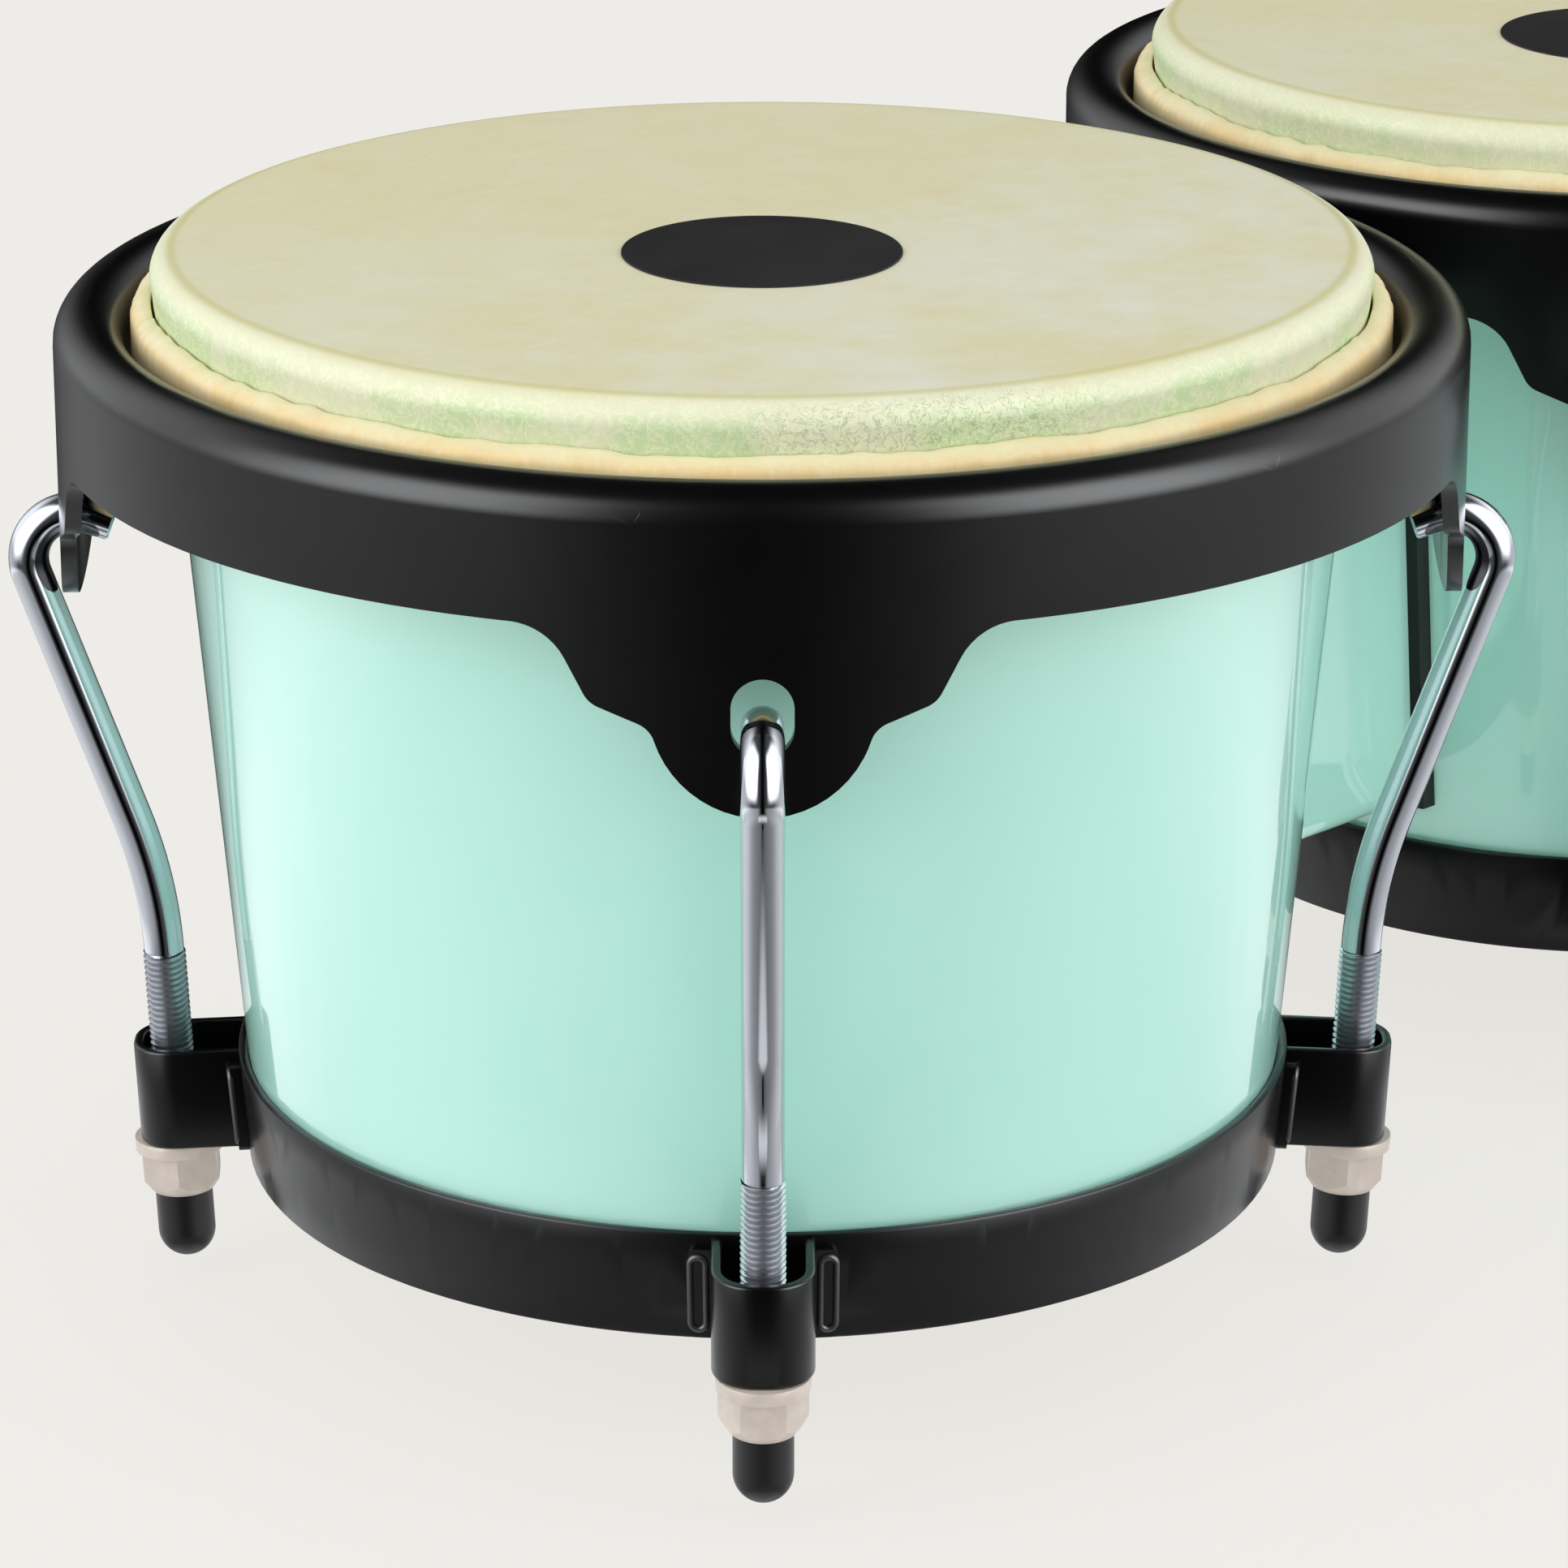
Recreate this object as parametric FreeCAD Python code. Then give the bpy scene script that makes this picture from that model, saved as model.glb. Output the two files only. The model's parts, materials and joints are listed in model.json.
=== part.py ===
import FreeCAD, Part
import math
import os
from collections import namedtuple

# A pair of bongo drums: a larger and a smaller tapered drum joined by a centre block.
# Lengths are in millimetres and +Z is up. The origin lies on the floor, under the middle
# of the pair, and +X runs from the larger drum's axis to the smaller drum's.

# Diameters over the tops of the shells
large_head_diameter = 190.5
small_head_diameter = 165.1

# Clearances
seat_gap = 0.05                # between pieces that are clamped or glued together
running_gap = 0.35             # between the moving tension parts and the drum
rim_to_rim = 7.2               # between the two rims

# Shell
shell_depth = 150.6
taper_angle = 4.75             # degrees, each side narrows by this towards the bottom
shell_wall = 9.0
bearing_round = 3.0            # rounding of the outer top edge, where the head bends
inner_edge_round = 1.5

# Head
skin_thickness = 1.2
disc_radius = 22.0
disc_thickness = 0.3
disc_offset = 10.0             # the disc lies off the middle, towards a lug
disc_direction = 225.0         # degrees from +X

# Flesh hoop and the skin that is wrapped round it
hoop_wire_radius = 3.0
wrap_thickness = 1.2
hoop_drop = 24.1               # from the top of the shell to the middle of the hoop
collar_thickness = 3.0
collar_rise = 18.0             # from the middle of the hoop to the collar's cut edge

# Rim
rim_sheet = 2.5
rim_crown_radius = 5.5
rim_lip_height = 7.6
rim_skirt_depth = 21.1         # from the crown to the skirt's lower edge
rim_to_collar = 1.2

# Rim ears: a broad shoulder and below it a round lobe with a slot for the hook
ear_drop = 28.0                # from the skirt's lower edge to the tip of the lobe
ear_lobe_radius = 16.4
ear_shoulder_width = 62.0
ear_step_width = 50.2
ear_step_drop = 11.3
ear_shoulder_round = 9.0
ear_step_round = 4.0
ear_neck_round = 4.0
ear_neck_slope = 21.8          # degrees below level, from the step to the lobe
ear_root_height = 4.0          # of the blank, up into the skirt
slot_width = 9.2
slot_height = 12.1
slot_above_tip = 9.0

# Tuning rods
lug_count = 4
rod_radius = 3.25
thread_radius = 3.5
thread_length = 48.4
rod_lean = 2.65                # degrees, each threaded end leans outwards by this
rod_stand_off = 13.5           # from the shell's lower edge to the threaded end's axis
rod_bend_height = 44.0         # of the outward bend, above the shell's bottom
rod_bend_radius = 42.0
hook_radius = 7.8
hook_centre_inset = 2.0        # of the hook's bend, from the rim's outer face
hook_droop = 20.0              # degrees below level, at the hook's end
hook_end_length = 3.5
rod_depth_in_cap = 6.5

# Bottom band and its lug brackets
band_height = 18.0
band_thickness = 1.6
bracket_wall = 2.2
bracket_width = 15.8
bracket_height = 17.0
bracket_reach = 6.1            # from the rod's axis to the bracket's outer face
bracket_outer_round = 5.0
bracket_flange_width = 22.2
bracket_flange_thickness = 1.8
bracket_flange_height = 15.0
bracket_flange_round = 3.0

# Lug nuts and end caps
nut_height = 9.4
nut_across_flats = 12.0
nut_collar_radius = 7.3
nut_collar_height = 2.2
nut_tip_radius = 5.2
nut_tip_height = 2.4
nut_bore_gap = 0.4
nut_seat_gap = 0.1
cap_gap = 0.3
cap_height = 11.8
cap_radius = 4.7

# Centre block, with a rubber pad at each drum, level with it above and below
block_width = 36.0
block_bottom = 25.0            # above the shell's bottom
block_height = 75.0
block_edge_round = 4.0
pad_thickness = 3.0
pad_border = 2.0               # on both sides of the block

# Bolts that hold the block, through each shell
bolt_radius = 4.0
bolt_hole_gap = 0.3
bolt_spacing = 44.0
bolt_in_block = 14.0
bolt_head_across_flats = 13.0
bolt_head_height = 5.3
washer_radius = 8.5
washer_thickness = 1.6
saddle_width = 30.0
saddle_height = 72.0
saddle_thickness = 4.0
insert_radius = 6.5
insert_length = 16.0
insert_end_room = 1.0          # from a bush to the bottom of its bore

# How far a cutting tool runs past what it cuts
overrun = 5.0

Drum = namedtuple("Drum", "name head_diameter side")   # side: of the block, along X
LARGE = Drum("large", large_head_diameter, -1)
SMALL = Drum("small", small_head_diameter, 1)
DRUMS = (LARGE, SMALL)

# Sizes worked out from those above
slope = math.tan(math.radians(taper_angle))
lean = math.cos(math.radians(taper_angle))
rod_slope = math.tan(math.radians(rod_lean))
rod_upright = math.cos(math.radians(rod_lean))
foot_length = nut_seat_gap + nut_height + cap_gap + cap_height
base = (foot_length - cap_radius) * rod_upright + cap_radius
shell_top = base + shell_depth
wrap_radius = hoop_wire_radius + wrap_thickness
band_offset = seat_gap + band_thickness
skin_offset = seat_gap + skin_thickness
pad_offset = seat_gap + pad_thickness
hoop_z = shell_top - hoop_drop
collar_top = hoop_z + collar_rise
lug_angles = [45.0 + 360.0 / lug_count * i for i in range(lug_count)]


def taper_radius(drum, z, offset=0.0):
    """Radius at height z of a cone that stands off the shell's outer side by offset."""
    return drum.head_diameter / 2 - (shell_top - z) * slope + offset / lean


def collar_inner(drum):
    return taper_radius(drum, collar_top, skin_offset) + running_gap


def hoop_radius(drum):
    """Radius of the hoop's middle line: its wrapping just clears the shell's side."""
    return taper_radius(drum, hoop_z + wrap_radius) + running_gap + wrap_radius


def rim_inner(drum):
    return collar_inner(drum) + collar_thickness + rim_to_collar


def rim_outer(drum):
    return rim_inner(drum) + 2 * rim_crown_radius


def lip_bottom(drum):
    """The lip rests on the wrapped hoop, at its own inner edge."""
    reach = rim_inner(drum) - hoop_radius(drum)
    return hoop_z + math.sqrt(wrap_radius**2 - reach**2) + seat_gap


def crown_centre(drum):
    return lip_bottom(drum) + rim_lip_height


def skirt_bottom(drum):
    return crown_centre(drum) + rim_crown_radius - rim_skirt_depth


axis_distance = rim_outer(LARGE) + rim_outer(SMALL) + rim_to_rim
pair_length = rim_outer(LARGE) + axis_distance + rim_outer(SMALL)
large_axis = rim_outer(LARGE) - pair_length / 2
AXIS_X = {LARGE.name: large_axis, SMALL.name: large_axis + axis_distance}


def at(x, y=0.0, z=0.0):
    return FreeCAD.Vector(x, y, z)


def on_profile(point):
    """A point (radius, height) in the XZ plane."""
    return at(point[0], 0, point[1])


def outline(start, *steps):
    """Closed face in the XZ plane. A step is a point, or the middle and end of an arc."""
    edges = []
    here = start
    for step in steps:
        if isinstance(step[0], tuple):
            middle, end = step
            arc = Part.Arc(on_profile(here), on_profile(middle), on_profile(end))
            edges.append(arc.toShape())
        else:
            end = step
            edges.append(Part.LineSegment(on_profile(here), on_profile(end)).toShape())
        here = end
    edges.append(Part.LineSegment(on_profile(here), on_profile(start)).toShape())
    return Part.Face(Part.Wire(edges))


def turned(face):
    return face.revolve(at(0), at(0, 0, 1), 360)


def ring_section(centre_r, centre_z, radius):
    """Torus about the drum's axis."""
    return Part.makeTorus(centre_r, radius, at(0, 0, centre_z))


def cone(drum, z0, z1, offset=0.0):
    """Solid cone, parallel to the shell's side, between two heights."""
    low = taper_radius(drum, z0, offset)
    high = taper_radius(drum, z1, offset)
    return Part.makeCone(low, high, z1 - z0, at(0, 0, z0))


def plug(drum, z0, offset):
    """The solid inside the shell's outer side and rounded top, grown by offset."""
    top = shell_top + offset
    solid = cone(drum, z0, top, offset)
    edges = [e for e in solid.Edges if edge_height(e) > top - 0.01 and len(e.Vertexes) == 1]
    return solid.makeFillet(bearing_round + offset, edges)


def edge_height(edge):
    return edge.BoundBox.ZMin


def box(x0, x1, y_half, z0, z1):
    return Part.makeBox(x1 - x0, 2 * y_half, z1 - z0, at(x0, -y_half, z0))


def upright_edges(shape, x_from):
    """Edges parallel to Z beyond x_from."""
    return [
        e for e in shape.Edges
        if e.BoundBox.XLength < 1e-6 and e.BoundBox.YLength < 1e-6 and e.BoundBox.XMin > x_from
    ]


def cross_edges(shape):
    """Edges parallel to X."""
    return [e for e in shape.Edges if e.BoundBox.YLength < 1e-6 and e.BoundBox.ZLength < 1e-6]


def hexagon(across_flats, height, x0=0.0, along_x=False):
    """Hexagonal prism with one flat towards +X."""
    corner = across_flats / math.sqrt(3)
    points = []
    for i in range(7):
        a = math.radians(60 * i + 30)
        points.append(at(corner * math.cos(a), corner * math.sin(a), 0))
    prism = Part.Face(Part.makePolygon(points)).extrude(at(0, 0, height))
    if along_x:
        prism.rotate(at(0), at(0, 1, 0), 90)
        prism.translate(at(x0))
    return prism


def turn_to_side(shape, drum, z, offset):
    """Lay a piece on the tapered side: its X becomes the side's normal, its Z runs up it."""
    placed = shape.copy()
    placed.rotate(at(0), at(0, 1, 0), taper_angle)
    placed.translate(at(taper_radius(drum, z, offset), 0, z))
    return placed


def lug_radius(drum, z=base):
    """Radius of the threaded end's axis at height z."""
    return taper_radius(drum, base, rod_stand_off) + (z - base) * rod_slope


def turn_to_lug(shape, drum):
    """Lay a piece on the threaded end's axis, with its origin at the shell's bottom."""
    placed = shape.copy()
    placed.rotate(at(0), at(0, 1, 0), rod_lean)
    placed.translate(at(lug_radius(drum), 0, base))
    return placed


def place(shape, drum, angle=0.0):
    """From the drum's own axis to its place in the pair, turned about that axis."""
    placed = shape.copy()
    placed.rotate(at(0), at(0, 0, 1), angle)
    placed.translate(at(AXIS_X[drum.name]))
    return placed


def block_angle(drum):
    """The direction from a drum's axis to the block."""
    return 0.0 if drum.side < 0 else 180.0


# Shell and head


def shell(drum):
    inside = cone(drum, base - overrun, shell_top + overrun, -shell_wall)
    body = plug(drum, base, 0.0).cut(inside)
    inner_top = [
        e for e in body.Edges
        if edge_height(e) > shell_top - 0.01
        and abs(e.BoundBox.XMax - taper_radius(drum, shell_top, -shell_wall)) < 0.1
    ]
    body = body.makeFillet(inner_edge_round, inner_top)
    return body.cut(bolt_holes(drum, bolt_radius + bolt_hole_gap))


def skin(drum):
    """The playing skin: a flat top that bends down over the bearing edge."""
    low = hoop_z + wrap_radius + running_gap
    return plug(drum, low, skin_offset).cut(plug(drum, low - overrun, seat_gap))


def head_disc(drum):
    top = shell_top + skin_offset + seat_gap
    disc = Part.makeCylinder(disc_radius, disc_thickness, at(0, 0, top))
    way = math.radians(disc_direction)
    disc.translate(at(disc_offset * math.cos(way), disc_offset * math.sin(way)))
    return disc


def flesh_hoop(drum):
    return ring_section(hoop_radius(drum), hoop_z, hoop_wire_radius)


def skin_collar(drum):
    """The skin's edge, wrapped round the hoop and trimmed just above the rim."""
    wrap = ring_section(hoop_radius(drum), hoop_z, wrap_radius)
    inner = collar_inner(drum)
    outer = inner + collar_thickness
    soft = collar_thickness / 3
    collar = turned(outline(
        (inner, hoop_z),
        (outer, hoop_z),
        (outer, collar_top - soft),
        (outer - soft, collar_top),
        (inner, collar_top),
    ))
    hoop_space = ring_section(hoop_radius(drum), hoop_z, hoop_wire_radius + seat_gap)
    return wrap.fuse(collar).cut(hoop_space).removeSplitter()


# Rim


def rim_ring(drum):
    """The rolled ring: an inner lip, a round crown and an outer skirt, all of one sheet."""
    inner = rim_inner(drum)
    outer = rim_outer(drum)
    middle = inner + rim_crown_radius
    level = crown_centre(drum)
    crown = level + rim_crown_radius
    return turned(outline(
        (inner, lip_bottom(drum)),
        (inner, level),
        ((middle, crown), (outer, level)),
        (outer, skirt_bottom(drum)),
        (outer - rim_sheet, skirt_bottom(drum)),
        (outer - rim_sheet, level),
        ((middle, crown - rim_sheet), (inner + rim_sheet, level)),
        (inner + rim_sheet, lip_bottom(drum)),
    ))


def corner_edges(plate, y, z):
    """The plate's edges along X that pass through a corner of its outline, on both sides."""
    return [
        e for e in plate.Edges
        if e.BoundBox.XLength > 1
        and abs(abs(e.BoundBox.Center.y) - y) < 0.01
        and abs(e.BoundBox.Center.z - z) < 0.01
    ]


def ear_plate(drum):
    """Flat blank of one ear, seen along X, thick enough to cross the skirt."""
    skirt = skirt_bottom(drum)
    tip = skirt - ear_drop
    lobe_z = tip + ear_lobe_radius
    step_z = skirt - ear_step_drop
    shoulder = ear_shoulder_width / 2
    step = ear_step_width / 2
    neck_z = step_z - (step - ear_lobe_radius) * math.tan(math.radians(ear_neck_slope))
    neck = math.sqrt(ear_lobe_radius**2 - (lobe_z - neck_z) ** 2)
    side = [(-shoulder, skirt), (-step, step_z), (-neck, neck_z)]
    mirrored = [(-y, z) for y, z in reversed(side)]
    root = shoulder + ear_shoulder_round
    roof = [(root, skirt), (root, skirt + ear_root_height)]
    roof += [(-y, z) for y, z in reversed(roof)]
    far = rim_outer(drum) + overrun
    near = rim_outer(drum) - ear_shoulder_width / 2
    points = [at(near, y, z) for y, z in side + mirrored + roof]
    trapezoid = Part.Face(Part.makePolygon(points + points[:1])).extrude(at(far - near))
    lobe = Part.makeCylinder(ear_lobe_radius, far - near, at(near, 0, lobe_z), at(1))
    plate = trapezoid.fuse(lobe).removeSplitter()
    plate = plate.makeFillet(ear_neck_round, corner_edges(plate, neck, neck_z))
    plate = plate.makeFillet(ear_step_round, corner_edges(plate, step, step_z))
    return plate.makeFillet(ear_shoulder_round, corner_edges(plate, shoulder, skirt))


def slot_bottom(drum):
    return skirt_bottom(drum) - ear_drop + slot_above_tip


def ear_slot(drum):
    """Upright slot with round ends, cut along X."""
    half = slot_width / 2
    near = rim_outer(drum) - ear_lobe_radius
    low = slot_bottom(drum) + half
    high = slot_bottom(drum) + slot_height - half
    reach = ear_lobe_radius + overrun
    slot = box(near, near + reach, half, low, high)
    for z in (low, high):
        slot = slot.fuse(Part.makeCylinder(half, reach, at(near, 0, z), at(1)))
    return slot


def rim(drum):
    outer = rim_outer(drum)
    tip = skirt_bottom(drum) - ear_drop - overrun
    tall = skirt_bottom(drum) + ear_root_height - tip
    tube = Part.makeCylinder(outer, tall, at(0, 0, tip))
    tube = tube.cut(Part.makeCylinder(outer - rim_sheet, tall, at(0, 0, tip)))
    ear = ear_plate(drum).common(tube)
    slot = ear_slot(drum)
    body = rim_ring(drum)
    for angle in lug_angles:
        one_ear = ear.copy()
        one_ear.rotate(at(0), at(0, 0, 1), angle)
        body = body.fuse(one_ear)
    for angle in lug_angles:
        one_slot = slot.copy()
        one_slot.rotate(at(0), at(0, 0, 1), angle)
        body = body.cut(one_slot)
    return body.removeSplitter()


# Tuning rods


def hook_centre(drum):
    """Middle of the hook's bend: the rod's underside rests in the bottom of the ear's slot."""
    inner_bend = hook_radius - rod_radius
    sag = inner_bend - math.sqrt(inner_bend**2 - hook_centre_inset**2)
    z = slot_bottom(drum) + seat_gap - inner_bend + sag
    return rim_outer(drum) - hook_centre_inset, z


def rod_geometry(drum):
    """Bend point, lean angle and hook centre, in the plane of the drum's axis and the rod."""
    bend = (lug_radius(drum, base + rod_bend_height), base + rod_bend_height)
    centre = hook_centre(drum)
    across = centre[0] - bend[0]
    up = centre[1] - bend[1]
    angle = math.atan2(across, up) + math.asin(hook_radius / math.hypot(across, up))
    return bend, angle, centre


def rod_path(drum):
    """The rod's middle line: threaded end, outward bend, leaning shank, hook and hook end."""
    bend, angle, centre = rod_geometry(drum)
    low = math.radians(rod_lean)
    below = rod_bend_height / rod_upright + foot_length - cap_height + rod_depth_in_cap
    start = (bend[0] - below * math.sin(low), bend[1] - below * math.cos(low))
    tangent = rod_bend_radius * math.tan((angle - low) / 2)
    bend_in = (bend[0] - tangent * math.sin(low), bend[1] - tangent * math.cos(low))
    bend_out = (bend[0] + tangent * math.sin(angle), bend[1] + tangent * math.cos(angle))
    middle = (angle + low) / 2
    to_arc = rod_bend_radius / math.cos((angle - low) / 2) - rod_bend_radius
    bend_mid = (bend[0] + to_arc * math.cos(middle), bend[1] - to_arc * math.sin(middle))
    droop = math.radians(hook_droop)

    def on_hook(turn):
        return (
            centre[0] + hook_radius * math.cos(turn),
            centre[1] + hook_radius * math.sin(turn),
        )

    hook_start = on_hook(-angle)
    hook_mid = on_hook((math.pi / 2 + droop - angle) / 2)
    hook_out = on_hook(math.pi / 2 + droop)
    end = (
        hook_out[0] - hook_end_length * math.cos(droop),
        hook_out[1] - hook_end_length * math.sin(droop),
    )
    return start, bend_in, bend_mid, bend_out, hook_start, hook_mid, hook_out, end


def rod(drum):
    start, bend_in, bend_mid, bend_out, hook_start, hook_mid, hook_out, end = rod_path(drum)
    low = math.radians(rod_lean)
    along = at(math.sin(low), 0, math.cos(low))
    threaded = Part.makeCylinder(thread_radius, thread_length, on_profile(start), along)
    shank_start = on_profile(start) + along * thread_length
    path = Part.Wire([
        Part.LineSegment(shank_start, on_profile(bend_in)).toShape(),
        Part.Arc(on_profile(bend_in), on_profile(bend_mid), on_profile(bend_out)).toShape(),
        Part.LineSegment(on_profile(bend_out), on_profile(hook_start)).toShape(),
        Part.Arc(on_profile(hook_start), on_profile(hook_mid), on_profile(hook_out)).toShape(),
        Part.LineSegment(on_profile(hook_out), on_profile(end)).toShape(),
    ])
    circle = Part.Wire(Part.makeCircle(rod_radius, shank_start, along))
    shank = path.makePipeShell([circle], True, False)
    return threaded.fuse(shank)


# Bottom band, lug brackets, nuts and caps


def bottom_band(drum):
    top = base + band_height
    inside = cone(drum, base - overrun, top + overrun, seat_gap)
    return cone(drum, base, top, band_offset).cut(inside)


def bracket(drum):
    """A strap bent round the rod in a U, with a flange on each side, welded to the band."""
    half = bracket_width / 2
    slit = half - bracket_wall
    back = -2 * rod_stand_off
    loop = box(back, bracket_reach, half, 0, bracket_height)
    loop = loop.makeFillet(bracket_outer_round, upright_edges(loop, 0))
    inside = bracket_reach - bracket_wall
    space = box(back - overrun, inside, slit, -overrun, bracket_height + overrun)
    space = space.makeFillet(bracket_outer_round - bracket_wall, upright_edges(space, 0))
    flange_low = (bracket_height - bracket_flange_height) / 2
    flange_high = flange_low + bracket_flange_height
    flange_strip = box(back, 0, bracket_flange_width / 2, flange_low, flange_high)
    flange_strip = flange_strip.makeFillet(bracket_flange_round, cross_edges(flange_strip))
    loop, space, flange_strip = [turn_to_lug(s, drum) for s in (loop, space, flange_strip)]
    low = base - band_height
    high = base + 2 * band_height
    seat = band_offset + seat_gap
    band_face = cone(drum, low, high, seat)
    flange = cone(drum, low, high, seat + bracket_flange_thickness).common(flange_strip)
    return loop.fuse(flange).cut(space).cut(band_face).removeSplitter()


def lug_nut(drum):
    """Round bearing collar, hexagon and tapered tip, below the bracket."""
    top = -nut_seat_gap
    bottom = top - nut_height
    under = top - nut_collar_height
    collar = Part.makeCylinder(nut_collar_radius, nut_collar_height, at(0, 0, under))
    body = hexagon(nut_across_flats, nut_height)
    body.translate(at(0, 0, bottom))
    corner = nut_across_flats / math.sqrt(3)
    taper = Part.makeCone(nut_tip_radius, corner, nut_tip_height, at(0, 0, bottom))
    straight = Part.makeCylinder(corner, nut_height, at(0, 0, bottom + nut_tip_height))
    body = body.common(taper.fuse(straight))
    through = nut_height + 2 * overrun
    bore = Part.makeCylinder(thread_radius + nut_bore_gap, through, at(0, 0, bottom - overrun))
    return turn_to_lug(collar.fuse(body).cut(bore), drum)


def end_cap(drum):
    """Black cap on the rod's end, round at the bottom: the foot that the drum stands on."""
    top = cap_height - foot_length
    straight = cap_height - cap_radius
    body = Part.makeCylinder(cap_radius, straight, at(0, 0, top - straight))
    body = body.fuse(Part.makeSphere(cap_radius, at(0, 0, top - straight)))
    depth = rod_depth_in_cap + seat_gap
    bore = Part.makeCylinder(thread_radius + seat_gap, depth + overrun, at(0, 0, top - depth))
    return turn_to_lug(body.cut(bore), drum)


# Centre block and what holds it. Each is made at the drum's side that faces the block.


def bolt_heights():
    middle = base + block_bottom + block_height / 2
    return middle - bolt_spacing / 2, middle + bolt_spacing / 2


def side_cylinders(drum, radius, start, end):
    """Cylinders square to the shell's side, one at each bolt."""
    rods = []
    for z in bolt_heights():
        one = Part.makeCylinder(radius, end - start, at(start), at(1))
        rods.append(turn_to_side(one, drum, z, 0.0))
    return rods


def bolt_holes(drum, radius):
    holes = side_cylinders(drum, radius, -2 * shell_wall, 2 * shell_wall)
    if drum.side > 0:
        for hole in holes:
            hole.rotate(at(0), at(0, 0, 1), 180)
    return Part.makeCompound(holes)


def saddle_inner():
    """How far inside the shell's outer side the saddle's flat face lies."""
    return shell_wall + seat_gap + saddle_thickness


def bolts(drum):
    head_face = -(saddle_inner() + seat_gap + washer_thickness + seat_gap)
    pieces = []
    for z in bolt_heights():
        reach = pad_offset + seat_gap + bolt_in_block - head_face
        shank = Part.makeCylinder(bolt_radius, reach, at(head_face), at(1))
        head_end = head_face - bolt_head_height
        head = hexagon(bolt_head_across_flats, bolt_head_height, head_end, True)
        pieces.append(turn_to_side(head.fuse(shank), drum, z, 0.0))
    return Part.makeCompound(pieces)


def washers(drum):
    outer_face = -(saddle_inner() + seat_gap)
    inner_face = outer_face - washer_thickness
    rings = side_cylinders(drum, washer_radius, inner_face, outer_face)
    hole_radius = bolt_radius + bolt_hole_gap
    holes = side_cylinders(drum, hole_radius, inner_face - overrun, outer_face + overrun)
    return Part.makeCompound([ring.cut(hole) for ring, hole in zip(rings, holes)])


def saddle(drum):
    """Backing plate inside the shell: curved against the wall and flat under the washers."""
    middle = base + block_bottom + block_height / 2
    strip = box(-saddle_inner(), 0, saddle_width / 2, -saddle_height / 2, saddle_height / 2)
    strip = turn_to_side(strip, drum, middle, 0.0)
    plate = cone(drum, base, shell_top, -shell_wall - seat_gap).common(strip)
    holes = side_cylinders(drum, bolt_radius + bolt_hole_gap, -3 * shell_wall, 0)
    return plate.cut(Part.makeCompound(holes))


def inserts(drum):
    """Threaded bushes in the block."""
    start = pad_offset + 2 * seat_gap
    end = start + insert_length
    bushes = side_cylinders(drum, insert_radius, start, end)
    holes = side_cylinders(drum, bolt_radius + seat_gap, start - overrun, end + overrun)
    return Part.makeCompound([bush.cut(hole) for bush, hole in zip(bushes, holes)])


def pad(drum):
    low = base + block_bottom
    strip = box(0, drum.head_diameter, block_width / 2 + pad_border, low, low + block_height)
    ring = cone(drum, base, shell_top, pad_offset).cut(cone(drum, base, shell_top, seat_gap))
    holes = side_cylinders(drum, bolt_radius + bolt_hole_gap, 0, 2 * pad_thickness)
    return ring.common(strip).cut(Part.makeCompound(holes))


def centre_block():
    low = base + block_bottom
    near = AXIS_X[LARGE.name]
    far = AXIS_X[SMALL.name]
    block = box(near, far, block_width / 2, low, low + block_height)
    long_edges = [e for e in block.Edges if e.BoundBox.XLength > block_width]
    block = block.makeFillet(block_edge_round, long_edges)
    for drum in DRUMS:
        wall = cone(drum, base, shell_top, pad_offset + seat_gap)
        block = block.cut(place(wall, drum))
        deep = pad_offset + insert_length + insert_end_room
        bores = side_cylinders(drum, insert_radius + seat_gap, 0, deep)
        block = block.cut(place(Part.makeCompound(bores), drum, block_angle(drum)))
    return block


def drum_nodes(drum):
    """Every node of one drum, by name."""
    nodes = {
        "shell": place(shell(drum), drum),
        "skin": place(skin(drum), drum),
        "head_disc": place(head_disc(drum), drum),
        "flesh_hoop": place(flesh_hoop(drum), drum),
        "skin_collar": place(skin_collar(drum), drum),
        "rim": place(rim(drum), drum),
        "bottom_band": place(bottom_band(drum), drum),
    }
    at_block = {
        "block_bolts": bolts, "bolt_washers": washers, "bolt_saddle": saddle,
        "block_inserts": inserts, "block_pad": pad,
    }
    for name, make in at_block.items():
        nodes[name] = place(make(drum), drum, block_angle(drum))
    lug_parts = {"tuning_rod": rod, "lug_bracket": bracket, "lug_nut": lug_nut, "end_cap": end_cap}
    for name, make in lug_parts.items():
        part = make(drum)
        for number, angle in enumerate(lug_angles, start=1):
            nodes[f"{name}_{number}"] = place(part, drum, angle)
    return {f"{drum.name}_{name}": shape for name, shape in nodes.items()}


def main():
    os.makedirs("parts", exist_ok=True)
    nodes = {"centre_block": centre_block()}
    for drum in DRUMS:
        nodes.update(drum_nodes(drum))
    for name, shape in nodes.items():
        shape.exportStep(f"parts/{name}.step")
        print(f"{name}: {len(shape.Solids)} solids, {shape.Volume / 1000:.2f} cm3, "
              f"valid {shape.isValid()}")
    print(f"{len(nodes)} nodes, {pair_length:.1f} long")


main()
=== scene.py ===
import functools
import json
import math

import bmesh
import bpy
from bpy.props import FloatProperty, FloatVectorProperty, IntProperty, PointerProperty
from mathutils import Matrix, Vector, noise


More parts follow.
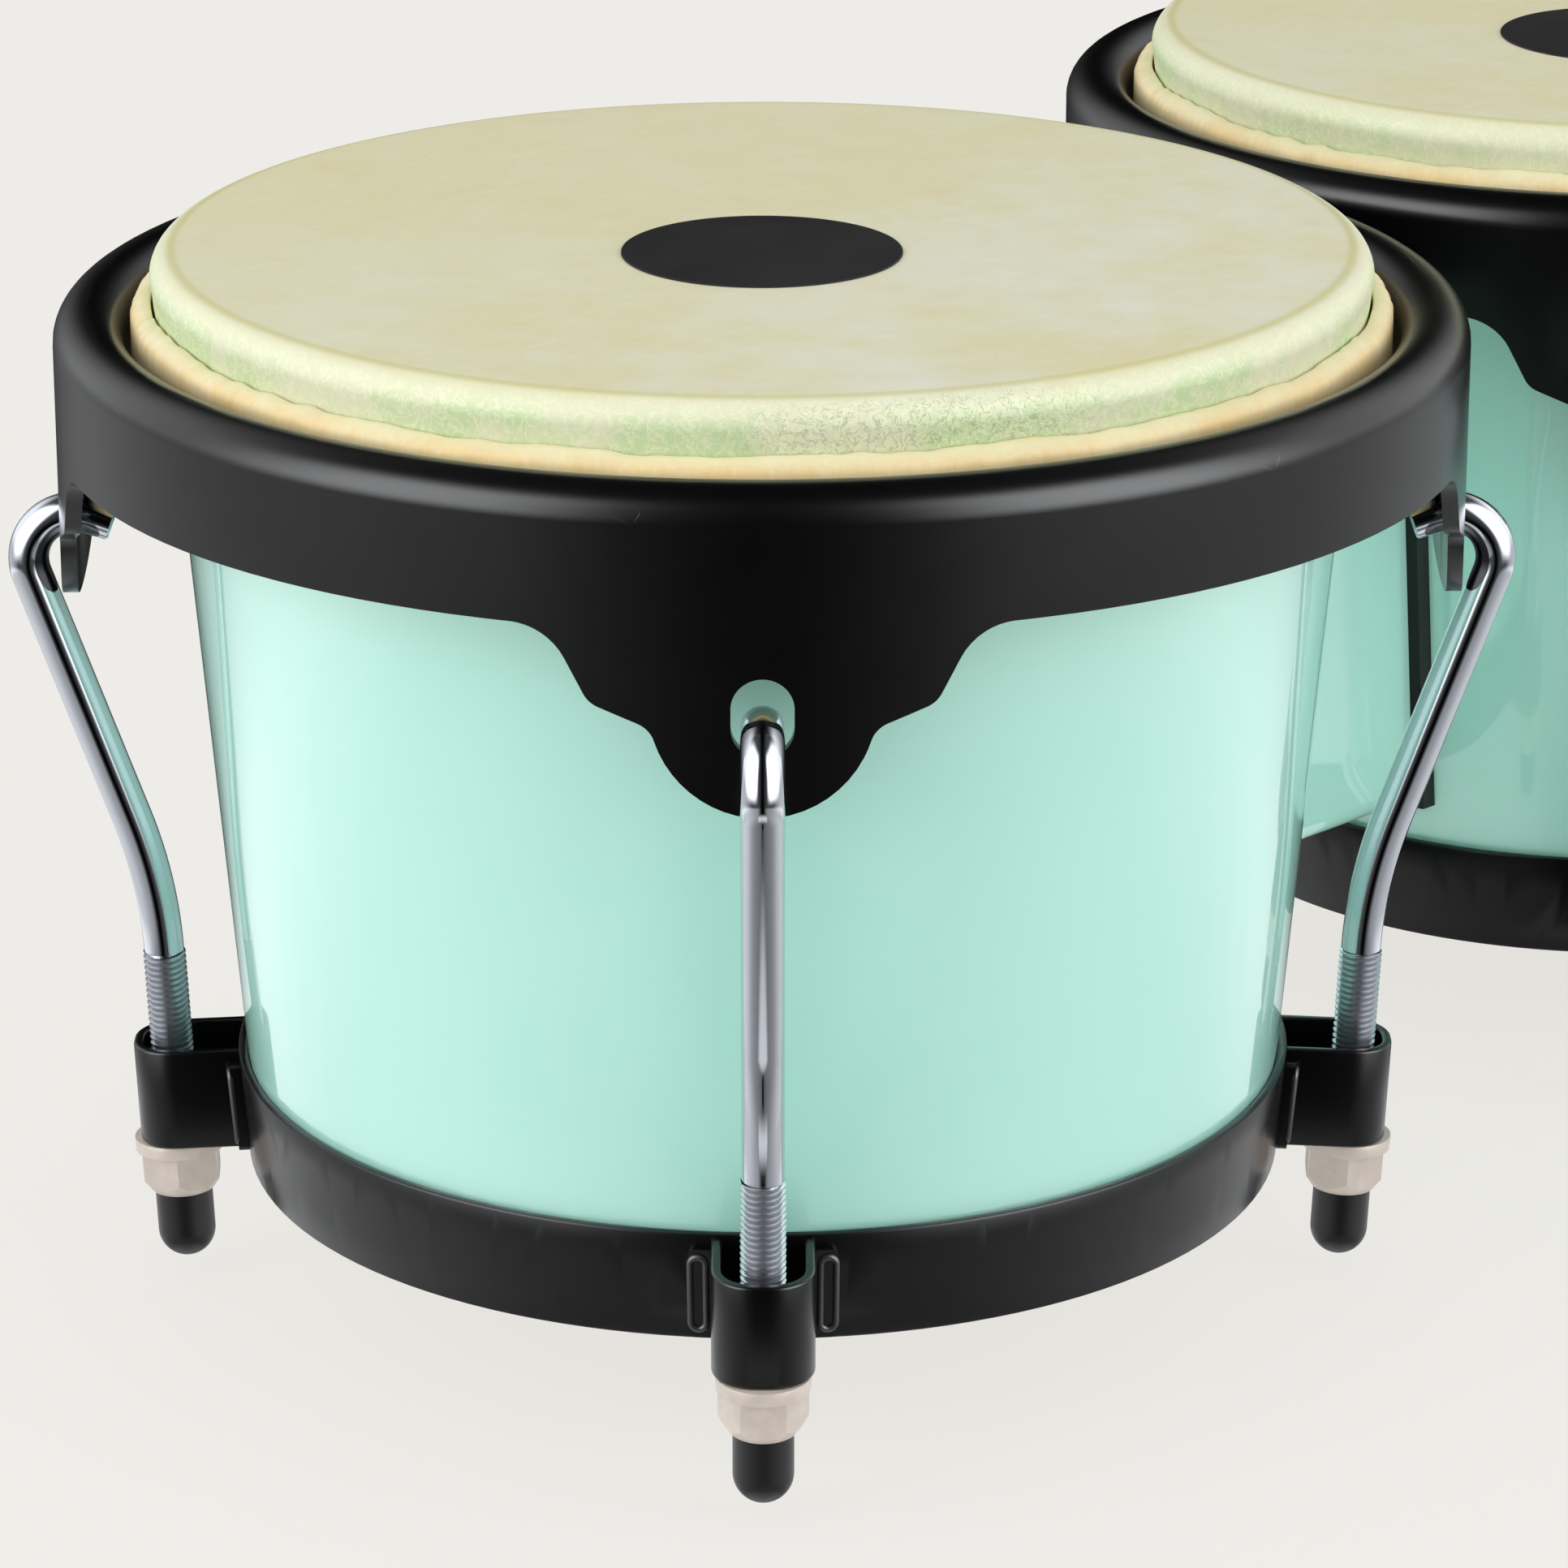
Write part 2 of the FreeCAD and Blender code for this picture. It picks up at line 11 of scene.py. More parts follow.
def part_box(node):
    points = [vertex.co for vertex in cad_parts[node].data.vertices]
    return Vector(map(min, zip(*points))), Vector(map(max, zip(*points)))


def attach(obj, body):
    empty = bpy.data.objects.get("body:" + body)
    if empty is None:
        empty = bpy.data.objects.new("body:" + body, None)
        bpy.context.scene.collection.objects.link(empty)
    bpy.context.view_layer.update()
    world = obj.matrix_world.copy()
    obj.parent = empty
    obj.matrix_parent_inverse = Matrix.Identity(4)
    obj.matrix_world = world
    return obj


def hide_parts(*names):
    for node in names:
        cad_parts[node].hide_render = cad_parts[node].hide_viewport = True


bl_info = {
    "name": "Bongo Drums",
    "version": (1, 0, 0),
    "blender": (4, 5, 0),
    "location": "View3D > Sidebar > Bongos",
    "description": "Finishes a pair of tapered bongo drums and lights them on a pale floor",
    "category": "Add Mesh",
}

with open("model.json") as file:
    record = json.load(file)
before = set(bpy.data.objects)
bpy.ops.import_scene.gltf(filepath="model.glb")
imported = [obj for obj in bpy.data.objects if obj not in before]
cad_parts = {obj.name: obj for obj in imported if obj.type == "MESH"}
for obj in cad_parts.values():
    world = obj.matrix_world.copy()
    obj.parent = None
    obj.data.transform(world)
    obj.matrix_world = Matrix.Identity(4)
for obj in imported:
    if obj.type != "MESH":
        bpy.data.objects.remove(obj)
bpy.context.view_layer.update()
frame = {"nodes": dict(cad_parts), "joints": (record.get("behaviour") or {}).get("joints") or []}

DRUMS = ("large", "small")
LUGS = (1, 2, 3, 4)
SIDES = ((-1, "a"), (1, "b"))
MM = 0.001
TAPER = math.radians(4.75)
UPRIGHT = (0, 0, 1)


# ---------------------------------------------------------------- settings


def length(name, description, millimetres):
    return FloatProperty(name=name, description=description, default=millimetres * MM,
                         unit="LENGTH", subtype="DISTANCE", precision=5)


def share(name, description, value):
    return FloatProperty(name=name, description=description, default=value,
                         min=0.0, max=1.0, subtype="FACTOR")


def number(name, description, value):
    return FloatProperty(name=name, description=description, default=value)


def colour(name, description, red, green, blue):
    """A colour given as 0 to 255 on the screen, kept in linear light."""
    linear = [((c / 255 + 0.055) / 1.055) ** 2.4 for c in (red, green, blue)]
    return FloatVectorProperty(name=name, description=description, default=linear,
                               subtype="COLOR", size=3, min=0.0, max=1.0)


def angle(name, description, degrees):
    return FloatProperty(name=name, description=description, default=math.radians(degrees),
                         unit="ROTATION", subtype="ANGLE")


class ShellSettings(bpy.types.PropertyGroup):
    lacquer: colour("Lacquer", "Colour of the glossy lacquer", 179, 235, 221)
    lacquer_deep: colour("Deep lacquer", "Lacquer where the coat lies thicker", 172, 232, 217)
    wood: colour("Bare wood", "Colour of the wood inside the shells", 205, 176, 132)
    satin: share("Satin", "Roughness of the lacquer under its clear coat", 0.34)
    bare: share("Bare", "Roughness of the bare wood", 0.6)
    peel: share("Orange peel", "Strength of the lacquer's slight waviness", 0.12)


class HeadSettings(bpy.types.PropertyGroup):
    hide: colour("Hide", "Main colour of the playing skin", 222, 216, 173)
    hide_pale: colour("Pale hide", "Colour of the paler clouds in the skin", 233, 234, 216)
    shoulder: colour("Shoulder", "Skin where it bends over the edge", 229, 232, 199)
    shoulder_green: colour("Green patches", "Thin patches on the shoulder", 197, 225, 168)
    collar: colour("Collar", "Trimmed edge of the skin", 252, 235, 188)
    # partly the hide's own deeper gold, partly painted shade in the hollows of the folds
    collar_gold_and_fold_shade: colour("Deep collar", "Folds of the trimmed edge", 246, 217, 157)
    disc: colour("Disc", "Round print in the middle of the skin", 34, 33, 34)
    thickness: length("Skin thickness", "Thickness of the skin", 1.2)
    edge_round: length("Bearing round", "Outer round of the skin over the shell's edge", 4.25)
    collar_thickness: length("Collar thickness", "Thickness of the folded edge", 3.0)
    edge_drop: length("Cut edge", "How far the cut edge lies below the collar's top", 0.7)
    edge_lean: length("Edge lean", "How far the thin edge leans in to the skin", 0.28)
    lean_height: length("Lean height", "Height over which the edge leans in", 6.0)
    edge_flat: length("Edge flat", "Width of the cut itself", 0.5)
    edge_fall: length("Edge fall", "Height of the outer round below the cut", 2.6)
    wave: length("Cut edge wave", "Rise and fall of the hand-cut edge", 0.8)
    wrinkle: length("Wrinkles", "Depth of the upright wrinkles", 0.30)


class SteelSettings(bpy.types.PropertyGroup):
    coat: colour("Black coat", "Colour of the black powder coat", 2, 2, 3)
    # painted highlight: the weld beads get a lighter grey than the black coat, standing in for the
    # light they catch
    weld_highlight_coat: colour("Weld coat", "Colour of the coat over the weld beads", 30, 30, 31)
    roughness: share("Roughness", "Roughness of the black coat", 0.26)
    edge: length("Edge round", "Rounding of the sheet's cut edges", 0.45)
    crown: length("Crown radius", "Radius of the rim's rolled top", 5.5)
    strap: length("Strap thickness", "Wall of a lug bracket's bent strap", 1.6)
    strap_width: length("Strap width", "Across the outside of the bent strap", 15.8)
    strap_height: length("Strap height", "Height of the bent strap", 17.0)
    strap_reach: length("Strap reach", "From the rod's axis to the strap's front", 6.1)
    strap_turn: length("Strap turn", "Outer radius of the strap's two bends", 6.8)
    flange_width: length("Flange width", "Across both flanges of a lug bracket", 22.2)
    flange_height: length("Flange height", "Height of a flange", 15.0)
    flange_round: length("Flange round", "Corner radius of a flange", 2.7)
    weld: length("Weld bead", "Radius of the bead round each end of a bracket's strap", 0.55)
    weld_offset: length("Weld offset", "From the middle of the bracket to its weld", 9.9)
    weld_width: length("Weld width", "Width of the ring of weld", 2.4)
    weld_height: length("Weld height", "Height of the ring of weld", 12.4)
    weld_stand: length("Weld stand", "From the band's face to the middle of the bead", 1.75)


class RodSettings(bpy.types.PropertyGroup):
    shank: length("Shank radius", "Radius of the plain rod", 3.25)
    crest: length("Thread crest", "Radius over the thread", 3.5)
    root: length("Thread root", "Radius at the bottom of the thread", 2.95)
    pitch: length("Pitch", "Rise of one turn of the thread", 1.0)
    thread_length: length("Thread length", "Length of the threaded end", 48.4)
    bend_height: length("Bend height", "Height of the outward bend above the shell's bottom", 44.0)
    bend_radius: length("Bend radius", "Radius of the outward bend", 80.0)
    hook_radius: length("Hook radius", "Radius of the hook's middle line", 7.8)
    hook_inset: length("Hook inset", "From the rim's face in to the hook's centre", 2.0)
    hook_droop: angle("Hook droop", "How far the hook's end points below level", 20.0)
    hook_end: length("Hook end", "Straight end of the hook", 3.5)
    chrome: colour("Chrome", "Colour of the chrome", 203, 206, 213)
    polish: share("Polish", "Roughness of the chrome", 0.07)
    thread_polish: share("Thread roughness", "How much rougher the rolled thread is", 0.25)


class SmallPartSettings(bpy.types.PropertyGroup):
    nickel: colour("Nickel", "Colour of the lug nuts", 214, 203, 193)
    edge: length("Edge round", "Rounding of the nuts' corners", 0.3)
    rubber: colour("Rubber", "Colour of the end caps and pads", 12, 12, 13)


class StageSettings(bpy.types.PropertyGroup):
    distance: length("Camera distance", "From the large drum's axis, level", 993.0)
    height: length("Camera height", "Above the drums' feet", 427.0)
    bearing: angle("Camera bearing", "From the large drum's axis, counted from -X", 45.0)
    heading: angle("Camera heading", "Direction that the camera looks in, from +X", 44.8)
    pitch: angle("Camera pitch", "How far the camera looks down", 19.15)
    lens: number("Lens", "Focal length in millimetres on a 36 mm sensor", 149.0)
    floor: colour("Floor", "Colour of the floor and the backdrop", 237, 235, 231)
    drop: length("Floor drop", "Room under the feet, for the rods to come down into", 3.0)
    shade: share("Shade", "How much of the floor takes shadows", 0.14)
    room: number("Room light", "Strength of the even light of the room", 0.82)
    left: number("Left light", "Brightness of the soft light at the left front", 3.4)
    right: number("Right light", "Brightness of the soft light at the right front", 2.9)
    left_lamp: number("Left lamp", "Brightness of the left lamp, in reflections", 6.2)
    right_lamp: number("Right lamp", "Brightness of the right lamp, in reflections", 7.0)
    card: number("Cards", "Brightness of the tall cards at the sides, in reflections", 0.75)
    sheet: number("Sheets", "Brightness of the slanting sheets on the shells", 0.16)
    dim: number("Dim studio", "Brightness of the dark part of the studio", 0.08)
    table: number("Table", "Brightness of the table, in reflections", 0.74)
    near: number("Near table", "Brightness of the table close by, in reflections", 0.95)


def settings():
    return bpy.context.scene.bongo


class BongoSettings(bpy.types.PropertyGroup):
    shell: PointerProperty(type=ShellSettings, name="Shells", description="Shell finish")
    head: PointerProperty(type=HeadSettings, name="Heads", description="Skins and discs")
    steel: PointerProperty(type=SteelSettings, name="Black steel", description="Rims and bands")
    rod: PointerProperty(type=RodSettings, name="Rods", description="Tuning rods")
    small: PointerProperty(type=SmallPartSettings, name="Small parts", description="Nuts, caps")
    stage: PointerProperty(type=StageSettings, name="Stage", description="Floor, lights, camera")
    steps: IntProperty(name="Steps round", description="Segments round a drum", default=288)


# ---------------------------------------------------------------- places taken from the frame


def drum_axis(drum):
    low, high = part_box(f"{drum}_shell")
    return Vector(((low.x + high.x) / 2, 0, 0))


def half_width(node):
    low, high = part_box(node)
    return (high.x - low.x) / 2


def shell_bottom():
    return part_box("large_shell")[0].z


def nut_joint(drum, lug):
    """The joint whose axis is the middle line of that lug's threaded rod."""
    return next(j for j in frame["joints"] if j["name"] == f"{drum}_nut_{lug}_turn")


def lug_frame(drum, lug):
    """Matrix that turns a piece made in the XZ plane round the drum's axis to its lug."""
    point = Vector(nut_joint(drum, lug)["pos_m"]) - drum_axis(drum)
    turn = math.atan2(point.y, point.x)
    return Matrix.Translation(drum_axis(drum)) @ Matrix.Rotation(turn, 4, "Z")


def rod_lean(drum):
    """How far the threaded ends lean outwards."""
    return math.acos(Vector(nut_joint(drum, 1)["axis"]).z)


def rod_axis_radius(drum, z):
    """From the drum's axis to the threaded end's axis, at height z."""
    point = Vector(nut_joint(drum, 1)["pos_m"]) - drum_axis(drum)
    return math.hypot(point.x, point.y) + (z - point.z) * math.tan(rod_lean(drum))


# ---------------------------------------------------------------- mesh helpers


def finish_mesh(name, bm, body, material, sharp=40.0, node=None):
    """Turns a bmesh into a piece at the origin, riding on its body in place of a CAD node."""
    mesh = bpy.data.meshes.new(name)
    bm.to_mesh(mesh)
    bm.free()
    mesh.polygons.foreach_set("use_smooth", [True] * len(mesh.polygons))
    mesh.set_sharp_from_angle(angle=math.radians(sharp))
    mesh.materials.append(material)
    piece = bpy.data.objects.new(name, mesh)
    bpy.context.scene.collection.objects.link(piece)
    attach(piece, body)
    if node:
        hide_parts(node)
    return piece


def repeated(bm, times, matrix):
    """Doubles everything again and again, each copy moved twice as far as the last."""
    for _ in range(times):
        made = bmesh.ops.duplicate(bm, geom=bm.verts[:] + bm.edges[:] + bm.faces[:])["geom"]
        bmesh.ops.transform(bm, matrix=matrix, verts=only(bmesh.types.BMVert, made))
        matrix = matrix @ matrix
    bmesh.ops.remove_doubles(bm, verts=bm.verts, dist=0.002 * MM)


def outward(bm):
    bmesh.ops.recalc_face_normals(bm, faces=bm.faces)
    return bm


def spun(points, steps, closed=True):
    """A bmesh turned about Z from a profile of (radius, height) points, in 16 wedges."""
    bm = bmesh.new()
    verts = [bm.verts.new((r, 0, z)) for r, z in points]
    pairs = list(zip(verts, verts[1:]))
    if closed:
        pairs.append((verts[-1], verts[0]))
    edges = [bm.edges.new(pair) for pair in pairs]
    doublings = 4
    wedge = math.tau / 2 ** doublings
    bmesh.ops.spin(bm, geom=verts + edges, cent=(0, 0, 0), axis=UPRIGHT,
                   angle=wedge, steps=steps // 2 ** doublings)
    repeated(bm, doublings, Matrix.Rotation(wedge, 4, "Z"))
    bmesh.ops.dissolve_degenerate(bm, edges=bm.edges, dist=0.001 * MM)
    return outward(bm)


def placed(bm, matrix):
    bmesh.ops.transform(bm, verts=bm.verts, matrix=matrix)
    return bm


def arc(centre, radius, start, end, count):
    """Points (radius, height) on an arc, angles in degrees from outwards."""
    turns = [math.radians(start + (end - start) * i / count) for i in range(count + 1)]
    return [(centre[0] + radius * math.cos(a), centre[1] + radius * math.sin(a)) for a in turns]


def along(start, end, step):
    """Evenly spaced points between two profile points, without the last one."""
    count = max(1, round(math.dist(start, end) / step))
    return [(start[0] + (end[0] - start[0]) * i / count,
             start[1] + (end[1] - start[1]) * i / count) for i in range(count)]


def ease(bm, edges, width, segments):
    """Rounds edges over, as far as their neighbours leave room."""
    bmesh.ops.bevel(bm, geom=edges, offset=width, offset_type="OFFSET", segments=segments,
                    profile=0.5, affect="EDGES", clamp_overlap=True, material=-1)


def sharp_edges(bm, degrees):
    limit = math.radians(degrees)
    return [e for e in bm.edges if e.is_manifold and e.calc_face_angle(0) > limit]


def eased_copy(node, width):
    """A merged copy of a CAD node with its sharp edges rounded a little."""
    bm = bmesh.new()
    bm.from_mesh(frame["nodes"][node].data)
    bmesh.ops.remove_doubles(bm, verts=bm.verts, dist=0.003 * MM)
    bmesh.ops.dissolve_degenerate(bm, edges=bm.edges, dist=0.002 * MM)
    bmesh.ops.dissolve_limit(bm, angle_limit=math.radians(0.4), verts=bm.verts, edges=bm.edges,
                             delimit={"NORMAL"})
    ease(bm, sharp_edges(bm, 35), width, 2)
    return bm


def steel_piece(name, bm, body="frame", node=None):
    return finish_mesh(name, bm, body, black_steel(), 30, node)


def only(kind, geom):
    return [g for g in geom if isinstance(g, kind)]


def ends(loop):
    """The vertices of a loop of edges, each once."""
    return list(dict.fromkeys(v for e in loop for v in e.verts))


def circle(bm, segments, radius, place):
    """The edges of a level circle about a place."""
    verts = bmesh.ops.create_circle(bm, segments=segments, radius=radius,
                                    matrix=Matrix.Translation(place))["verts"]
    return list(dict.fromkeys(e for v in verts for e in v.link_edges))


def extruded(bm, loop, vector):
    """Extrudes a loop of edges and returns the new loop."""
    made = bmesh.ops.extrude_edge_only(bm, edges=loop)["geom"]
    verts = only(bmesh.types.BMVert, made)
    bmesh.ops.translate(bm, verts=verts, vec=vector)
    return [e for e in only(bmesh.types.BMEdge, made) if all(v in verts for v in e.verts)]


def swept(bm, geom, centre, axis, turn, steps):
    """Carries edges, and a face between them, round a line; returns the edges at the end."""
    loop = only(bmesh.types.BMEdge, geom)
    made = bmesh.ops.spin(bm, geom=ends(loop) + geom, cent=centre, axis=axis,
                          angle=turn, steps=steps)["geom_last"]
    return only(bmesh.types.BMEdge, made)


def widened(bm, loop, factor):
    """Scales a loop of edges about its own middle."""
    verts = ends(loop)
    middle = sum((v.co for v in verts), Vector()) / len(verts)
    bmesh.ops.scale(bm, verts=verts, vec=(factor, factor, factor),
                    space=Matrix.Translation(-middle))


# ---------------------------------------------------------------- node helpers


class Shader:
    """Short hand for wiring a node tree; a value is a socket to link or a plain value."""

    def __init__(self, tree):
        self.tree = tree

    def feed(self, socket, value):
        if isinstance(value, bpy.types.NodeSocket):
            self.tree.links.new(value, socket)
        elif socket.type == "RGBA":
            socket.default_value = (*value, 1.0)
        else:
            socket.default_value = value

    def wire(self, node, **inputs):
        """Feeds a node's sockets by their names, with _ for a space."""
        for key, value in inputs.items():
            self.feed(node.inputs[key.replace("_", " ")], value)
        return node.outputs

    def node(self, kind, **inputs):
        return self.wire(self.tree.nodes.new(kind), **inputs)

    def numbered(self, kind, values, **options):
        """A node whose sockets are fed by their places, once its options are set."""
        made = self.tree.nodes.new(kind)
        for key, value in options.items():
            setattr(made, key, value)
        for place, value in values.items():
            self.feed(made.inputs[place], value)
        return made.outputs

    def math(self, operation, *values):
        return self.numbered("ShaderNodeMath", dict(enumerate(values)), operation=operation)[0]

    def times(self, *values):
        return functools.reduce(lambda a, b: self.math("MULTIPLY", a, b), values)

    def sum(self, first, weight, second, other_weight):
        """Two values added up by their weights."""
        return self.math("MULTIPLY_ADD", first, weight, self.times(second, other_weight))

    def vector(self, operation, *values):
        made = self.numbered("ShaderNodeVectorMath", dict(enumerate(values)),
                             operation=operation)
        return made[1] if operation in ("LENGTH", "DOT_PRODUCT") else made[0]

    def mix(self, factor, first, second):
        """From one colour to another."""
        return self.numbered("ShaderNodeMix", {0: factor, 6: first, 7: second},
                             data_type="RGBA")[2]

    def blend(self, factor, first, second):
        """From one value to another."""
        return self.numbered("ShaderNodeMix", {0: factor, 2: first, 3: second},
                             data_type="FLOAT")[0]

    def over(self, below, mask, amount, above):
        """One colour laid over another by a mask times an amount."""
        return self.mix(self.times(mask, amount), below, above)

    def lights(self, factor, first, second):
        """From one shader's light to another's."""
        return self.numbered("ShaderNodeMixShader", {0: factor, 1: first, 2: second})[0]

    def ramp(self, value, low, high, kind="SMOOTHSTEP"):
        """0 up to low and 1 from high on, or the other way round if high is below low."""
        sockets = {"Value": value, "From Min": low, "From Max": high}
        return self.numbered("ShaderNodeMapRange", sockets, interpolation_type=kind)["Result"]

    def noise(self, place, scale, detail=2.0, roughness=0.5, distortion=0.0):
        return self.node("ShaderNodeTexNoise", Vector=place, Scale=scale, Detail=detail,
                         Roughness=roughness, Distortion=distortion)["Fac"]

    def bump(self, height, strength, distance):
        return self.node("ShaderNodeBump", Strength=strength, Distance=distance,
                         Height=height)["Normal"]

    def centred(self, centre=(0, 0, 0), stretch=(1, 1, 1)):
        """Object coordinates counted from a point, in metres, and stretched."""
        place = self.node("ShaderNodeTexCoord")["Object"]
        return self.vector("MULTIPLY", self.vector("SUBTRACT", place, centre), stretch)

    def split(self, vector):
        return self.node("ShaderNodeSeparateXYZ", Vector=vector)

    def radius(self, place):
        return self.vector("LENGTH", self.vector("MULTIPLY", place, (1, 1, 0)))


def node_group(name, outputs, **inputs):
    """Makes a group's builder into a function that places the group, built once, in a tree."""
    def decorate(build):
        def place(shader, **values):
            made = shader.tree.nodes.new("ShaderNodeGroup")
            made.node_tree = (bpy.data.node_groups.get(name)
                              or new_group(name, outputs, inputs, build))
            return shader.wire(made, **values)
        return functools.wraps(build)(place)
    return decorate


def new_group(name, outputs, inputs, build):
    """A node group; its inputs are values with a default, or vectors without one."""
    tree = bpy.data.node_groups.new(name, "ShaderNodeTree")
    for label, default in inputs.items():
        kind = "NodeSocketVector" if default is None else "NodeSocketFloat"
        socket = tree.interface.new_socket(name=label, in_out="INPUT", socket_type=kind)
        if default is not None:
            socket.default_value = default
    for label, kind in outputs.items():
        tree.interface.new_socket(name=label, in_out="OUTPUT", socket_type=kind)
    start = tree.nodes.new("NodeGroupInput").outputs
    end = tree.nodes.new("NodeGroupOutput")
    Shader(tree).wire(end, **build(Shader(tree), start))
    return tree


@node_group("Clouds", {"Mask": "NodeSocketFloat"}, Place=None, Scale=10.0, Spread=0.15)
def clouds(shader, start):
    """Soft blotches at one scale and finer ones inside them."""
    large = shader.noise(start["Place"], start["Scale"], detail=3.0, roughness=0.55)
    finer = shader.times(start["Scale"], 6.0)
    small = shader.noise(start["Place"], finer, detail=4.0, roughness=0.6)
    low = shader.math("SUBTRACT", 0.5, start["Spread"])
    high = shader.math("ADD", 0.5, start["Spread"])
    return {"Mask": shader.ramp(shader.sum(small, 0.35, large, 0.65), low, high)}


@node_group("Scribbles", {"Mask": "NodeSocketFloat"}, Place=None, Scale=600.0, Width=0.03)
def scribbles(shader, start):
    """Thin, wandering lines, like the veins in a hide."""
    field = shader.noise(start["Place"], start["Scale"], detail=3.0, roughness=0.6,
                         distortion=0.8)
    away = shader.math("ABSOLUTE", shader.math("SUBTRACT", field, 0.5))
    return {"Mask": shader.ramp(away, start["Width"], shader.times(start["Width"], 0.3))}


@node_group("Fine grain", {"Roughness": "NodeSocketFloat", "Normal": "NodeSocketVector"},
            Place=None, Scale=2500.0, Roughness=0.4, Swing=0.1, Bump=0.3)
def fine_grain(shader, start):
    """Tiny uneven height, and the roughness that goes with it."""
    grain = shader.noise(start["Place"], start["Scale"], detail=3.0, roughness=0.6)
    broad = shader.noise(start["Place"], shader.times(start["Scale"], 0.06))
    swing = shader.times(shader.math("SUBTRACT", broad, 0.5), start["Swing"])
    return {"Roughness": shader.math("ADD", start["Roughness"], swing),
            "Normal": shader.bump(grain, start["Bump"], 0.02 * MM)}


def new_material(name):
    """A material, its Principled shader and the helper that wires its nodes."""
    material = bpy.data.materials.new(name)
    material.use_nodes = True
    return material, material.node_tree.nodes["Principled BSDF"], Shader(material.node_tree)


def tinted(base, *factors):
    """A colour with its channels scaled, all alike or each by a factor of its own."""
    return tuple(c * f for c, f in zip(base, factors * (3 // len(factors))))


# ---------------------------------------------------------------- materials


def lacquer_material(name, centre, wall_inside=0.0):
    """Glossy lacquer; inside a shell's wall, bare wood with its grain."""
    sizes = settings().shell
    material, principled, shader = new_material(name)
    place = shader.centred(centre)
    mask = clouds(shader, Place=place, Scale=5.0, Spread=0.2)["Mask"]
    paint = shader.mix(mask, sizes.lacquer, sizes.lacquer_deep)
    peel = shader.noise(place, 90.0, detail=1.0)
    shader.wire(principled, Normal=shader.bump(peel, sizes.peel, 0.03 * MM),
                Roughness=sizes.satin, Coat_Weight=1.0, Coat_Roughness=0.035, Coat_IOR=2.0,
                Specular_IOR_Level=0.4)
    if wall_inside:
        wall = shader.math("MULTIPLY_ADD", shader.split(place)[2], math.tan(TAPER), wall_inside)
        bare = shader.math("LESS_THAN", shader.radius(place), wall)
        grain = shader.noise(shader.centred(centre, (1, 1, 0.06)), 160.0, detail=6.0,
                             roughness=0.65, distortion=0.6)
        wood = shader.mix(shader.ramp(grain, 0.35, 0.7), sizes.wood, tinted(sizes.wood, 0.72))
        paint = shader.mix(bare, paint, wood)
        shader.wire(principled, Roughness=shader.blend(bare, sizes.satin, sizes.bare),
                    Coat_Weight=shader.blend(bare, 1.0, 0.05))
    shader.wire(principled, Base_Color=paint)
    return material


def hide_material(drum, top, flat_radius, wall_radius):
    """Natural hide: cloudy and fibrous on top, greener where it bends over the edge, with a darker
    olive line along the bend that is partly the hide's own mark and partly painted shade.
    """
    sizes = settings().head
    centre = drum_axis(drum) + Vector((0, 0, top))
    material, principled, shader = new_material(f"{drum}_hide")
    place = shader.centred(centre)
    radius = shader.radius(place)
    fibres = shader.noise(shader.centred(centre, (0.25, 1, 1)), 420.0, detail=5.0,
                          roughness=0.7, distortion=1.2)
    stains = shader.noise(place, 38.0, detail=5.0, roughness=0.7, distortion=0.8)
    paler = shader.ramp(shader.split(place)[1], 60 * MM, -90 * MM, "LINEAR")
    mask = shader.times(clouds(shader, Place=place, Scale=14.0, Spread=0.16)["Mask"],
                        shader.math("MULTIPLY_ADD", paler, 0.8, 0.35))
    flat = shader.mix(mask, sizes.hide, sizes.hide_pale)
    flat = shader.over(flat, shader.ramp(fibres, 0.5, 0.75), 0.22, tinted(sizes.hide_pale, 1.12))
    flat = shader.over(flat, shader.ramp(stains, 0.56, 0.78), 0.35,
                       tinted(sizes.hide, 0.95, 0.86, 0.66))
    bend = shoulder_colour(shader, place, wall_radius)
    both = shader.mix(shader.ramp(radius, flat_radius, wall_radius), flat, bend)
    # darker olive line along the bend over the edge: partly the hide's own mark, partly painted
    # shade at the crease
    away = shader.math("ABSOLUTE", shader.math("SUBTRACT", radius, flat_radius + 0.8 * MM))
    crease_mark_and_shade = shader.ramp(away, 1.3 * MM, 0.1 * MM)
    both = shader.over(both, crease_mark_and_shade, 0.6, tinted(sizes.hide, 0.80, 0.82, 0.55))
    height = shader.sum(fibres, 0.6, stains, 0.8)
    shader.wire(principled, Base_Color=both, Roughness=shader.blend(mask, 0.5, 0.38),
                Normal=shader.bump(height, 0.35, 0.08 * MM), Subsurface_Weight=0.12,
                Subsurface_Scale=1.5 * MM, Subsurface_Radius=(1.0, 0.8, 0.5),
                Specular_IOR_Level=0.4)
    return material


